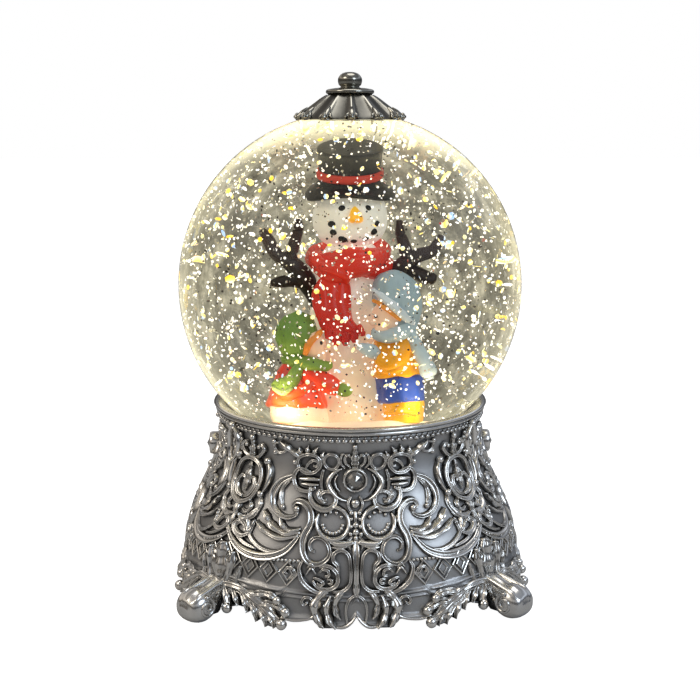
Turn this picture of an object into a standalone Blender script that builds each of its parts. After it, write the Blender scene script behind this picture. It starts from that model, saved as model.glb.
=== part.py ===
"""Lit snow globe on a four-sided base with scroll feet.

A clear globe of liquid holds a snowman and two children. The base holds the lights, the motor that
stirs the liquid through a pair of magnets, and three cells behind a door underneath.
Metres, +Z up. The origin is on the ground under the globe's centre, and the front faces -Y.
"""

from math import asin, cos, degrees, exp, pi, radians, sin, sqrt

import bmesh
import bpy
from mathutils import Matrix, Vector

# Globe: a sphere with a neck that goes down into the base
GLOBE_R = 0.0500
GLOBE_Z = 0.0860
GLOBE_WALL = 0.0025
NECK_R = 0.0300
NECK_BOTTOM = 0.0400

# Base: a bombe body, nearly square in plan, that narrows to a round waist under the rim ring
BODY_TOP = 0.0500
WAIST_Z = 0.0430
WAIST_R = 0.0380
SKIRT_Z = 0.0120
SKIRT_R = 0.0479
TOP_FLARE = 0.0013
FOOT_FLARE = 0.0016
CORNER_SWELL = 0.0060
BASE_WALL = 0.0020
LEDGE_Z = 0.0105
LEDGE_PROUD = 0.0014
HEM_LIFT = 0.0042
FOOT_REACH = 0.0654
FOOT_WIDTH = 0.0110
JEWEL_Z = 0.0387
JEWEL_R = 0.0029

# Underside and mechanism
COVER_LOW = 0.0030
COVER_HIGH = 0.0050
BAY_HALF_X = 0.0292
BAY_HALF_Y = 0.0242
BAY_TOP = 0.0217
CELL_R = 0.0072
CELL_LENGTH = 0.0500
CELL_PITCH = 0.0152
COVER_SCREW_R = 0.0485
PLATE_SCREW_R = 0.0362
PLATE_LOW = 0.0320
PLATE_HIGH = 0.0336
SWITCH_Y = -0.0352

# Figurine
MOUND_TOP = 0.0555
STAND = 0.0558
HEAD_Z = 0.1003
HEAD_R = 0.0084
HEAD_HALF_HEIGHT = 0.0070
HAT_LOW = 0.1068
HAT_TOP = 0.1174

GAP = 0.0003
MERGE = 0.00001
QUARTERS = (0, 90, 180, 270)
CORNERS = (45, 135, 225, 315)

PEWTER = ((0.42, 0.43, 0.45), 0.32, 1.0)
DARK_CHROME = ((0.20, 0.20, 0.21), 0.18, 1.0)
STEEL = ((0.62, 0.62, 0.63), 0.30, 1.0)
BRASS = ((0.72, 0.56, 0.28), 0.30, 1.0)
MAGNET = ((0.55, 0.55, 0.57), 0.35, 1.0)
CLEAR = ((0.95, 0.96, 0.97), 0.03, 0.0)
BLACK_PLASTIC = ((0.03, 0.03, 0.03), 0.50, 0.0)
WHITE_PLASTIC = ((0.80, 0.80, 0.78), 0.45, 0.0)
GREEN_BOARD = ((0.03, 0.20, 0.08), 0.40, 0.0)
SNOW = ((0.86, 0.85, 0.80), 0.50, 0.0)
RED = ((0.60, 0.03, 0.02), 0.50, 0.0)

for leftover in list(bpy.data.objects):
    bpy.data.objects.remove(leftover)
PARTS = bpy.data.collections.new("snow_globe")
CUTTERS = bpy.data.collections.new("cutters")
bpy.context.scene.collection.children.link(PARTS)
bpy.context.scene.collection.children.link(CUTTERS)


# ---------------------------------------------------------------- modelling helpers


def finish(name, look):
    colour, roughness, metallic = look
    material = bpy.data.materials.new(name)
    material.use_nodes = True
    shader = material.node_tree.nodes["Principled BSDF"]
    shader.inputs["Base Color"].default_value = (*colour, 1.0)
    shader.inputs["Roughness"].default_value = roughness
    shader.inputs["Metallic"].default_value = metallic
    return material


def add(name, data, look):
    """A part with its own material, or a cutter when it has no look."""
    obj = bpy.data.objects.new(name, data)
    if look:
        PARTS.objects.link(obj)
        data.materials.append(finish(name, look))
    else:
        CUTTERS.objects.link(obj)
        obj.hide_render = True
        obj.display_type = "WIRE"
    return obj


def from_bmesh(name, bm, look):
    mesh = bpy.data.meshes.new(name)
    bmesh.ops.recalc_face_normals(bm, faces=bm.faces)
    bm.to_mesh(mesh)
    bm.free()
    mesh.shade_smooth()
    mesh.set_sharp_from_angle(angle=radians(35))
    return add(name, mesh, look)


def arc(radius, centre_z, start, end, count, centre_r=0.0):
    """Profile points on a circle, by degrees from straight up towards +X."""
    turns = [radians(start + (end - start) * i / count) for i in range(count + 1)]
    return [(centre_r + radius * sin(t), centre_z + radius * cos(t)) for t in turns]


def turned(name, profile, look, steps=32):
    """A profile of (radius, height) turned about Z; one that stays off the axis is a closed ring."""
    mesh = bpy.data.meshes.new(name)
    ring = profile[0][0] > MERGE or profile[-1][0] > MERGE
    edges = [(i, i + 1) for i in range(len(profile) - 1)]
    if ring:
        edges.append((len(profile) - 1, 0))
    mesh.from_pydata([(r, 0.0, z) for r, z in profile], edges, [])
    obj = add(name, mesh, look)
    screw = obj.modifiers.new("turn", "SCREW")
    screw.steps = screw.render_steps = steps
    screw.use_merge_vertices = True
    screw.merge_threshold = MERGE
    screw.use_smooth_shade = True
    return obj


def slab(name, outlines, low, high, look):
    """A flat plate: the first outline is its edge, and the others are its holes."""
    curve = bpy.data.curves.new(name, "CURVE")
    curve.dimensions = "2D"
    curve.fill_mode = "BOTH"
    curve.extrude = (high - low) / 2
    for outline in outlines:
        spline = curve.splines.new("POLY")
        spline.points.add(len(outline) - 1)
        for point, (x, y) in zip(spline.points, outline):
            point.co = (x, y, 0.0, 1.0)
        spline.use_cyclic_u = True
    obj = add(name, curve, look)
    obj.location.z = (low + high) / 2
    return obj


def wire(name, points, radius, look, taper=1.0, sides=2):
    """A tube through the points, whose far end is taper times as thick."""
    curve = bpy.data.curves.new(name, "CURVE")
    curve.dimensions = "3D"
    curve.bevel_depth = radius
    curve.bevel_resolution = sides
    curve.use_fill_caps = True
    spline = curve.splines.new("POLY")
    spline.points.add(len(points) - 1)
    for i, (point, place) in enumerate(zip(spline.points, points)):
        point.co = (*place, 1.0)
        point.radius = 1.0 + (taper - 1.0) * i / (len(points) - 1)
    return add(name, curve, look)


def as_mesh(obj):
    """The evaluated shape as a plain mesh object in the same place, with loose caps welded."""
    bpy.context.view_layer.update()
    graph = bpy.context.evaluated_depsgraph_get()
    name, collection, hidden = obj.name, obj.users_collection[0], obj.hide_render
    mesh = bpy.data.meshes.new_from_object(obj.evaluated_get(graph))
    place = obj.matrix_world.copy()
    bpy.data.objects.remove(obj)
    bm = bmesh.new()
    bm.from_mesh(mesh)
    bmesh.ops.remove_doubles(bm, verts=bm.verts, dist=MERGE)
    bm.to_mesh(mesh)
    bm.free()
    made = bpy.data.objects.new(name, mesh)
    collection.objects.link(made)
    made.hide_render = hidden
    if hidden:
        made.display_type = "WIRE"
    made.matrix_world = place
    return made


def box(name, low, high, look):
    bm = bmesh.new()
    bmesh.ops.create_cube(bm, size=1.0)
    size = [b - a for a, b in zip(low, high)]
    bmesh.ops.scale(bm, vec=size, verts=bm.verts)
    bmesh.ops.translate(bm, vec=[(a + b) / 2 for a, b in zip(low, high)], verts=bm.verts)
    return from_bmesh(name, bm, look)


def ball(name, centre, radii, look, segments=16, rings=10):
    bm = bmesh.new()
    bmesh.ops.create_uvsphere(bm, u_segments=segments, v_segments=rings, radius=1.0)
    bmesh.ops.scale(bm, vec=radii, verts=bm.verts)
    bmesh.ops.translate(bm, vec=centre, verts=bm.verts)
    return from_bmesh(name, bm, look)


def loft(name, rings, look, capped=True):
    """A skin over rings of equally many points, capped at both ends or joined from last to first."""
    bm = bmesh.new()
    rows = [[bm.verts.new(p) for p in ring] for ring in rings]
    following = rows[1:] if capped else rows[1:] + rows[:1]
    for upper, lower in zip(rows, following):
        for i in range(len(upper)):
            j = (i + 1) % len(upper)
            bm.faces.new((upper[i], upper[j], lower[j], lower[i]))
    if capped:
        bm.faces.new(rows[0])
        bm.faces.new(rows[-1])
    return from_bmesh(name, bm, look)


def combine(obj, other, operation, solver="EXACT"):
    step = obj.modifiers.new(other.name, "BOOLEAN")
    step.operation = operation
    step.object = other
    step.solver = solver


def outward(radius, azimuth, z=0.0):
    """A point by its azimuth in degrees, from the front (-Y) towards +X."""
    t = radians(azimuth)
    return Vector((radius * sin(t), -radius * cos(t), z))


def facing(obj, azimuth):
    """Turns a part drawn about +Z so that its axis points outward, and its +Y upward."""
    t = radians(azimuth)
    axes = Matrix(((cos(t), 0, sin(t)), (sin(t), 0, -cos(t)), (0, 1, 0)))
    obj.matrix_world = axes.to_4x4()


def circle(radius, count, centre=(0.0, 0.0)):
    turns = [2 * pi * i / count for i in range(count)]
    return [(centre[0] + radius * cos(t), centre[1] + radius * sin(t)) for t in turns]


def rectangle(half_x, half_y, centre=(0.0, 0.0)):
    x, y = centre
    signs = ((-1, -1), (1, -1), (1, 1), (-1, 1))
    return [(x + half_x * a, y + half_y * b) for a, b in signs]


# ---------------------------------------------------------------- base shell


def smooth(t):
    t = min(max(t, 0.0), 1.0)
    return t * t * (3 - 2 * t)


def wall_radius(azimuth, z):
    """The base's outer surface: an ogee in height, swelling at the four corners."""
    down = smooth((WAIST_Z - z) / (WAIST_Z - SKIRT_Z))
    radius = WAIST_R + (SKIRT_R - WAIST_R) * down
    radius += TOP_FLARE * max(0.0, (z - WAIST_Z) / (BODY_TOP - WAIST_Z)) ** 2
    radius += FOOT_FLARE * max(0.0, (SKIRT_Z - z) / SKIRT_Z)
    low = min(max((BODY_TOP - 0.002 - z) / BODY_TOP, 0.0), 1.0)
    return radius + CORNER_SWELL * low * sin(radians(2 * azimuth)) ** 2


def wall_relief(azimuth, z):
    """How far the cast ornament stands proud: a rib down each corner and each panel's middle."""
    off_corner = (azimuth % 90) - 45
    off_panel = ((azimuth + 45) % 90) - 45
    fade = smooth((BODY_TOP - 0.001 - z) / 0.006)
    corner = 0.0024 * exp(-((off_corner / 8.0) ** 2))
    panel = 0.0014 * exp(-((off_panel / 7.0) ** 2))
    return (corner + panel) * fade


def hem(azimuth):
    """The lower edge lifts in arches between the middle shell, the leaf tips and the feet."""
    return 0.0006 + HEM_LIFT * (0.5 - 0.5 * cos(radians(azimuth * 16)))


def base_shell():
    count = 64
    heights = [BODY_TOP, WAIST_Z, 0.0380, 0.0330, 0.0280, 0.0230, 0.0170]
    heights += [LEDGE_Z + 0.0012, LEDGE_Z, LEDGE_Z - 0.0012, 0.0060]
    azimuths = [360 * i / count for i in range(count)]
    rings = []
    for z in heights:
        ledge = LEDGE_PROUD if z == LEDGE_Z else 0.0
        rings.append([outward(wall_radius(a, z) + wall_relief(a, z) + ledge, a, z) for a in azimuths])
    rings.append([outward(wall_radius(a, 0.0) + wall_relief(a, 0.0), a, hem(a)) for a in azimuths])
    rings.append([outward(wall_radius(a, 0.0) - BASE_WALL, a, hem(a)) for a in azimuths])
    for z in (0.0060, 0.0170, 0.0230, 0.0280, 0.0330, 0.0380, WAIST_Z, BODY_TOP):
        rings.append([outward(wall_radius(a, z) - BASE_WALL, a, z) for a in azimuths])
    shell = loft("base_shell", rings, PEWTER, capped=False)
    deck = [(0.0382, 0.0497), (0.0382, 0.0482), (0.0352, 0.0482), (0.0352, 0.0497)]
    additions = [turned("deck", deck, None, 48)] + [foot(azimuth) for azimuth in CORNERS]
    posts = [post(azimuth, PLATE_SCREW_R, 0.0028, 0.0339, 0.0485) for azimuth in CORNERS]
    posts += [post(azimuth, COVER_SCREW_R, 0.0030, COVER_HIGH + GAP, 0.0160) for azimuth in CORNERS]
    bezels = [turned(f"bezel_{a}", [(0, 0.0418), (0.0037, 0.0414), (0.0039, 0.0385), (0, 0.0385)], None, 20)
              for a in QUARTERS]
    seats = [turned(f"seat_{a}", [(0, 0.0440), (0.0032, 0.0440), (0.0032, 0.0399), (0, 0.0399)], None, 20)
             for a in QUARTERS]
    for cutter, azimuth in zip(bezels + seats, QUARTERS * 2):
        facing(cutter, azimuth)
        cutter.location.z = JEWEL_Z
    # Posts and seats meet faces of the deck and wall nearly edge on, where the exact solver leaves gaps
    for other in additions + posts + bezels:
        combine(shell, other, "UNION", "MANIFOLD")
    for other in seats:
        combine(shell, other, "DIFFERENCE", "MANIFOLD")


def foot(azimuth):
    """A scroll foot: a side outline with a rolled toe, as thick as the foot is wide."""
    toe_r = 0.0054
    toe = arc(toe_r, toe_r, 180, 0, 8, FOOT_REACH - toe_r)
    outline = [(0.0538, 0.0030), (0.0545, 0.0)] + toe + [(0.0560, 0.0125), (0.0510, 0.0170)]
    obj = slab(f"foot_{azimuth}", [outline], -FOOT_WIDTH / 2, FOOT_WIDTH / 2, None)
    t = radians(azimuth)
    obj.location = (0.0, 0.0, 0.0)
    axes = Matrix(((sin(t), 0, -cos(t)), (-cos(t), 0, -sin(t)), (0, 1, 0)))
    obj.matrix_world = axes.to_4x4()
    return as_mesh(obj)


def post(azimuth, at, radius, low, high):
    """A screw post: a tube that runs into the shell."""
    bore = 0.00135
    profile = [(radius, high), (radius, low), (bore, low), (bore, high)]
    tube = turned(f"post_{azimuth}_{at}", profile, None, 12)
    tube.location = outward(at, azimuth)
    return tube


def jewels():
    cut = [(0, 0.0424), (0.0016, 0.0424), (JEWEL_R, 0.0412), (0.0022, 0.0402), (0, 0.0402)]
    for side, azimuth in zip(("front", "right", "back", "left"), QUARTERS):
        stone = turned(f"jewel_{side}", cut, DARK_CHROME, 10)
        facing(stone, azimuth)
        stone.location.z = JEWEL_Z


def rim_ring():
    bulge = arc(0.0012, 0.0515, 20, 160, 5, 0.0391)
    profile = [(0.0376, 0.0524)] + bulge + [(0.0376, 0.0503)]
    turned("rim_ring", profile, PEWTER, 44)


# ---------------------------------------------------------------- globe and cap


def globe_shell():
    outer_end = degrees(pi - asin(NECK_R / GLOBE_R))
    inner_r = GLOBE_R - GLOBE_WALL
    inner_end = degrees(pi - asin((NECK_R - GLOBE_WALL) / inner_r))
    profile = arc(GLOBE_R, GLOBE_Z, 0, outer_end, 12)
    profile += [(NECK_R, NECK_BOTTOM), (NECK_R - GLOBE_WALL, NECK_BOTTOM)]
    profile += arc(inner_r, GLOBE_Z, inner_end, 0, 10)
    turned("globe_shell", profile, CLEAR, 36)


def globe_height(radius, clear=0.0):
    return GLOBE_Z + sqrt((GLOBE_R + clear) ** 2 - radius**2)


def fluted_cap():
    """A flared skirt with V flutes whose rim rests on the globe, under a flat seat for the knob."""
    flutes, per_flute = 14, 4
    rim_r, seat_r, seat_z = 0.0149, 0.0069, 0.1404
    turns = [2 * pi * i / (flutes * per_flute) for i in range(flutes * per_flute)]

    def ring(radius, z, depth):
        grooves = [radius * (1 - depth * (0.5 + 0.5 * cos(flutes * t))) for t in turns]
        return [(r * cos(t), r * sin(t), z) for r, t in zip(grooves, turns)]

    low = globe_height(rim_r, GAP)
    rings = [ring(seat_r, seat_z, 0.0), ring(0.0076, 0.1392, 0.05), ring(0.0100, 0.1372, 0.09)]
    rings += [ring(0.0128, 0.1352, 0.09), ring(rim_r, low + 0.0006, 0.07), ring(rim_r, low, 0.07)]
    rings += [ring(r, globe_height(r, GAP), 0.0) for r in (0.0120, 0.0080, 0.0040)]
    loft("fluted_cap", rings, DARK_CHROME)


def finial_knob():
    """A ball on a stepped collar."""
    knob_r, knob_z = 0.0034, 0.1438
    profile = arc(knob_r, knob_z, 0, 140, 8)
    profile += [(0.0050, 0.1413), (0.0064, 0.1411), (0.0067, 0.1409), (0.0067, 0.1407), (0, 0.1407)]
    turned("finial_knob", profile, DARK_CHROME, 24)


def globe_plug():
    """A clear rubber stopper in the neck, thin in the middle where the magnets pull through it."""
    profile = [(0, 0.0445), (0.0272, 0.0445), (0.0272, NECK_BOTTOM - GAP), (NECK_R, NECK_BOTTOM - GAP)]
    profile += [(NECK_R, 0.0382), (0.0128, 0.0382), (0.0128, 0.0423), (0, 0.0423)]
    turned("globe_plug", profile, CLEAR, 36)


# ---------------------------------------------------------------- figurine


def snow_mound():
    """The figurine's ground: a hollow dome over the impeller, with slots that let the liquid by."""
    profile = [(0, MOUND_TOP), (0.0205, MOUND_TOP), (0.0245, 0.0525), (0.0263, 0.0480), (0.0263, 0.0448)]
    profile += [(0.0150, 0.0448), (0.0150, 0.0525), (0, 0.0525)]
    mound = turned("snow_mound", profile, SNOW, 36)
    for i in range(3):
        slot = box(f"slot_{i}", (-0.030, -0.0025, 0.0462), (0.030, 0.0025, 0.0492), None)
        slot.rotation_euler.z = radians(60 * i)
        combine(mound, slot, "DIFFERENCE")


def snowman_profile(grow=0.0):
    """Head, shoulders and wide foot of the snowman in one outline, cut flat under the hat."""
    top = HAT_LOW - GAP + grow
    head = arc(1.0, 0.0, degrees(asin(0.62)), 138, 7)
    points = [(0, top)]
    points += [(HEAD_R * r + grow, HEAD_Z + HEAD_HALF_HEIGHT * z + grow * (z > 0.7)) for r, z in head]
    waist = ((0.0078, 0.0925), (0.0096, 0.0870), (0.0100, 0.0800), (0.0108, 0.0720), (0.0121, 0.0650))
    points += [(r + grow, z) for r, z in waist]
    points += [(0.0124 + grow, 0.0600), (0.0110 + grow, STAND - grow), (0, STAND - grow)]
    return points


def snowman():
    turned("snowman_body", snowman_profile(), SNOW, 24)
    nose = turned("carrot_nose", [(0, 0.0122), (0.0009, 0.0108), (0.0016, 0.0088), (0, 0.0088)],
                  ((0.85, 0.38, 0.03), 0.45, 0.0), 10)
    facing(nose, 5)
    nose.location.z = 0.1012
    brim = [(0.0074, 0.1089), (0.0086, 0.1083), (0.0099, 0.1074), (0.0099, 0.1068), (0.0086, 0.1072)]
    profile = [(0, HAT_TOP), (0.0070, HAT_TOP), (0.0074, HAT_TOP - 0.0006), (0.0069, 0.1100)] + brim
    turned("top_hat", profile + [(0.0074, HAT_LOW), (0, HAT_LOW)], BLACK_PLASTIC, 24)
    band = [(0.0079, 0.1113), (0.0079, 0.1093), (0.00735, 0.1093), (0.00755, 0.1113)]
    turned("hat_band", band, RED, 24)


def scarf(body_cutter):
    """A roll of scarf round the neck, a knot, and one tail that hangs down the front."""
    wrap = arc(0.0023, 0.0920, 0, 324, 9, 0.0083)
    roll = turned("snowman_scarf", wrap, RED, 24)
    knot = ball("knot", (-0.0035, -0.0098, 0.0900), (0.0034, 0.0022, 0.0026), None)
    tail = [(-0.0055, 0.0905), (-0.0008, 0.0905), (-0.0002, 0.0850), (0.0015, 0.0745), (-0.0060, 0.0745)]
    tail.append((-0.0076, 0.0840))
    hanging = slab("tail", [[(x, z) for x, z in tail]], -0.0013, 0.0013, None)
    hanging.location = (0.0, -0.0112, 0.0)
    hanging.rotation_euler.x = radians(90)
    hanging = as_mesh(hanging)
    combine(roll, knot, "UNION")
    combine(roll, hanging, "UNION")
    combine(roll, body_cutter, "DIFFERENCE")


def twig_arm(name, side, body_cutter):
    """A bare branch: a forked trunk with three twigs."""
    bark = ((0.05, 0.025, 0.015), 0.7, 0.0)
    fork = (side * 0.0132, 0.0010, 0.0915)
    trunk = wire(name, [(side * 0.0086, 0.0005, 0.0850), (side * 0.0110, 0.0010, 0.0885), fork], 0.0013, bark)
    trunk = as_mesh(trunk)
    reaches = {
        "outer": [(0.0126, 0.0010, 0.0905), (0.0166, 0.0, 0.0931), (0.0195, 0.0, 0.0985)],
        "upper": [(0.0128, 0.0010, 0.0900), (0.0127, 0.0, 0.0960), (0.0113, 0.0, 0.1005)],
        "lower": [(0.0108, 0.0010, 0.0880), (0.0145, 0.0, 0.0868), (0.0176, 0.0, 0.0872)],
    }
    for kind, points in reaches.items():
        placed = [(side * x, y, z) for x, y, z in points]
        twig = as_mesh(wire(f"{name}_{kind}", placed, 0.0010, None, taper=0.6))
        combine(trunk, twig, "UNION")
    combine(trunk, body_cutter, "DIFFERENCE")


def child(name, look, side, height, body_cutter):
    """A child in a long coat who leans on the snowman: coat, head in a hat, scarf tail and arm."""
    lean = Vector((side * 0.0112, -0.0082, 0.0))
    head_z = STAND + height - 0.0054
    shoulder = head_z - 0.0052
    coat = [(0, shoulder), (0.0034, shoulder - 0.0006), (0.0052, (shoulder + STAND) / 2)]
    coat.append((0.0064, STAND + 0.004))
    body = turned(name, coat + [(0.0062, STAND), (0, STAND)], look, 16)
    body.location = lean
    head = ball(f"{name}_head", lean + Vector((0, 0, head_z)), (0.0052, 0.0052, 0.0054), None, 14, 8)
    hand = Vector((side * 0.0022, -0.0136, STAND + 0.42 * height))
    elbow = lean + Vector((side * 0.001, -0.0045, shoulder - STAND - 0.004 + STAND))
    arm = as_mesh(wire(f"{name}_arm", [lean + Vector((0, 0, shoulder - 0.003)), elbow, hand], 0.0021, None))
    tail_end = lean + Vector((side * 0.0072, 0.0, shoulder - 0.0078))
    tail = as_mesh(wire(f"{name}_tail", [lean + Vector((0, 0, shoulder - 0.0004)), tail_end], 0.0016, None))
    for other in (head, arm, tail):
        combine(body, other, "UNION")
    combine(body, body_cutter, "DIFFERENCE")


# ---------------------------------------------------------------- stirrer and lights


def stirrer():
    """The impeller in the liquid, with its magnet, spins on a pin that stands in the plug."""
    hub = [(0.0026, 0.0510), (0.0026, 0.0472), (0.0095, 0.0472), (0.0095, 0.0464), (0.0012, 0.0464)]
    impeller = turned("impeller", hub + [(0.0012, 0.0510)], WHITE_PLASTIC, 24)
    for i in range(4):
        vane = box(f"vane_{i}", (0.0020, -0.00045, 0.0468), (0.0091, 0.00045, 0.0505), None)
        vane.rotation_euler.z = radians(90 * i + 7.5)
        combine(impeller, vane, "UNION")
    ring = [(0.0080, 0.0461), (0.0080, 0.0449), (0.0016, 0.0449), (0.0016, 0.0461)]
    turned("impeller_magnet", ring, MAGNET, 24)
    turned("impeller_pin", [(0, 0.0519), (0.0008, 0.0519), (0.0008, 0.0448), (0, 0.0448)], STEEL, 12)


def drive():
    """The motor under the plate turns a rotor whose two magnets pull the impeller round."""
    can = [(0, 0.0317), (0.0030, 0.0317), (0.0030, 0.0313), (0.0092, 0.0313), (0.0100, 0.0305)]
    turned("motor", can + [(0.0100, 0.0222), (0, 0.0222)], STEEL, 28)
    turned("motor_shaft", [(0, 0.0383), (0.0010, 0.0383), (0.0010, 0.0320), (0, 0.0320)], STEEL, 12)
    turned("drive_rotor", [(0, 0.0400), (0.0110, 0.0400), (0.0110, 0.0386), (0, 0.0386)], WHITE_PLASTIC, 24)
    for number, side in ((1, -1), (2, 1)):
        disc = [(0, 0.0419), (0.0030, 0.0419), (0.0030, 0.0403), (0, 0.0403)]
        magnet = turned(f"drive_magnet_{number}", disc, MAGNET, 16)
        magnet.location.x = side * 0.0068


def lights():
    board = [(0.0290, 0.0351), (0.0290, 0.0339), (0.0132, 0.0339), (0.0132, 0.0351)]
    turned("led_board", board, GREEN_BOARD, 36)
    dome = arc(0.0019, 0.0360, 0, 90, 4) + [(0.0019, 0.0354), (0, 0.0354)]
    for number, azimuth in enumerate(CORNERS, start=1):
        lamp = turned(f"led_{number}", dome, ((1.0, 0.85, 0.55), 0.2, 0.0), 12)
        lamp.location = outward(0.0210, azimuth)


def screw(name, azimuth, at, head_r, head_low, head_high, tip):
    profile = [(0, tip), (0.0007, tip - 0.0006), (0.0010, tip - 0.0018), (0.0010, head_high)]
    profile += [(head_r, head_high), (head_r, head_low + 0.0003), (head_r - 0.0004, head_low), (0, head_low)]
    obj = turned(name, profile, STEEL, 8)
    obj.location = outward(at, azimuth)


def mechanism_plate():
    holes = [circle(0.0014, 12, outward(PLATE_SCREW_R, a).xy) for a in CORNERS]
    outline = [circle(0.0378, 48), circle(0.0034, 16)]
    slab("mechanism_plate", outline + holes, PLATE_LOW, PLATE_HIGH, WHITE_PLASTIC)
    for number, azimuth in enumerate(CORNERS, start=1):
        screw(f"plate_screw_{number}", azimuth, PLATE_SCREW_R, 0.0022, 0.0302, PLATE_LOW - GAP, 0.0400)


# ---------------------------------------------------------------- underside and cells


def bottom_cover():
    """The plate that closes the base, let into the shell, with the openings for door and switch."""
    edge = []
    for i in range(48):
        azimuth = 7.5 * i
        radius = wall_radius(azimuth, COVER_HIGH) - BASE_WALL - 0.0008
        edge.append(tuple(outward(radius, azimuth).xy))
    holes = [circle(0.0014, 12, outward(COVER_SCREW_R, a).xy) for a in CORNERS]
    holes.append(rectangle(BAY_HALF_X + GAP, BAY_HALF_Y + GAP))
    holes.append(rectangle(0.0045, 0.0016, (0.0, SWITCH_Y)))
    slab("bottom_cover", [edge] + holes, COVER_LOW, COVER_HIGH, BLACK_PLASTIC)


def battery_door():
    """A lid that hinges down on its rear edge, with a thumb latch in a notch at its front edge."""
    half_x, half_y = BAY_HALF_X - 0.0001, BAY_HALF_Y - 0.0001
    notch = [(0.0070, -half_y), (0.0070, -half_y + 0.0030), (-0.0070, -half_y + 0.0030), (-0.0070, -half_y)]
    outline = [(-half_x, -half_y), (-half_x, half_y), (half_x, half_y), (half_x, -half_y)] + notch
    lid = as_mesh(slab("battery_door", [outline], COVER_LOW, COVER_HIGH, BLACK_PLASTIC))
    latch = box("latch", (-0.0050, -half_y + 0.0004, 0.0034), (0.0050, -half_y + 0.0040, 0.0044), None)
    combine(lid, latch, "UNION")
    for i in range(3):
        grip = box(f"grip_{i}", (-0.0060, -half_y + 0.0050 + 0.0018 * i, 0.0020),
                   (0.0060, -half_y + 0.0058 + 0.0018 * i, 0.0036), None)
        combine(lid, grip, "DIFFERENCE")


def battery_holder():
    """A tub open at the bottom that takes three cells side by side."""
    bm = bmesh.new()
    bmesh.ops.create_cube(bm, size=1.0)
    low = COVER_HIGH + GAP
    bmesh.ops.scale(bm, vec=(2 * BAY_HALF_X, 2 * BAY_HALF_Y, BAY_TOP - low), verts=bm.verts)
    bmesh.ops.translate(bm, vec=(0, 0, (BAY_TOP + low) / 2), verts=bm.verts)
    floor = [face for face in bm.faces if face.normal.z < -0.5]
    bmesh.ops.delete(bm, geom=floor, context="FACES_ONLY")
    tub = from_bmesh("battery_holder", bm, BLACK_PLASTIC)
    wall = tub.modifiers.new("wall", "SOLIDIFY")
    wall.thickness = 0.0012
    wall.offset = -1.0
    wall.use_even_offset = True


def cells():
    """Three cells laid side by side, every other one turned round, between plates and springs."""
    half = CELL_LENGTH / 2
    z = 0.01265
    outline = [(0, half + 0.0010), (0.0027, half + 0.0010), (0.0027, half), (CELL_R - 0.0005, half)]
    outline += [(CELL_R, half - 0.0005), (CELL_R, -half + 0.0004), (CELL_R - 0.0004, -half), (0, -half)]
    for number in range(3):
        end = 1 if number % 2 == 0 else -1
        y = (number - 1) * CELL_PITCH
        cell = turned(f"battery_{number + 1}", outline, ((0.75, 0.45, 0.12), 0.35, 0.6), 18)
        cell.rotation_euler.y = radians(90 * end)
        cell.location = (0.0, y, z)
        spring = contact_spring(f"contact_spring_{number + 1}")
        spring.rotation_euler.y = radians(90 * end)
        spring.location = (-end * (half + GAP), y, z)
    for side, sign in (("left", -1), ("right", 1)):
        inner, outer = sorted((sign * 0.0273, sign * 0.0277))
        box(f"contact_plate_{side}", (inner, -0.0215, 0.0070), (outer, 0.0215, 0.0180), BRASS)


def contact_spring(name):
    """A short cone of wire that opens towards the contact plate."""
    turns, steps, length = 2, 9, 0.0013
    wire_r = 0.00028
    points = []
    for i in range(turns * steps + 1):
        share = i / (turns * steps)
        radius = 0.0022 + 0.0022 * share
        t = 2 * pi * i / steps
        points.append((radius * cos(t), radius * sin(t), -wire_r - length * share))
    return wire(name, points, wire_r, STEEL, sides=1)


def switch():
    """A slide switch above the cover, and the knob that a thumb moves along its slot."""
    box("switch_body", (-0.0085, SWITCH_Y - 0.0040, 0.0073), (0.0085, SWITCH_Y + 0.0040, 0.0120), STEEL)
    knob_low = (-0.0042, SWITCH_Y - 0.0012, 0.0022)
    box("switch_slider", knob_low, (-0.0008, SWITCH_Y + 0.0012, 0.0070), BLACK_PLASTIC)


def main():
    base_shell()
    rim_ring()
    jewels()
    globe_shell()
    globe_plug()
    fluted_cap()
    finial_knob()
    snow_mound()
    snowman()
    body_cutter = turned("body_cutter", snowman_profile(GAP), None, 24)
    scarf(body_cutter)
    twig_arm("twig_arm_left", -1, body_cutter)
    twig_arm("twig_arm_right", 1, body_cutter)
    child("child_left", ((0.65, 0.10, 0.04), 0.5, 0.0), -1, 0.0247, body_cutter)
    child("child_right", ((0.85, 0.50, 0.05), 0.5, 0.0), 1, 0.0330, body_cutter)
    stirrer()
    drive()
    lights()
    mechanism_plate()
    bottom_cover()
    battery_holder()
    battery_door()
    cells()
    switch()
    for number, azimuth in enumerate(CORNERS, start=1):
        screw(f"cover_screw_{number}", azimuth, COVER_SCREW_R, 0.0026, 0.0014, COVER_LOW - GAP, 0.0120)


main()
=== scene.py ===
import math

import bmesh
import bpy
import numpy as np
from mathutils import Matrix, Vector, noise


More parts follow.
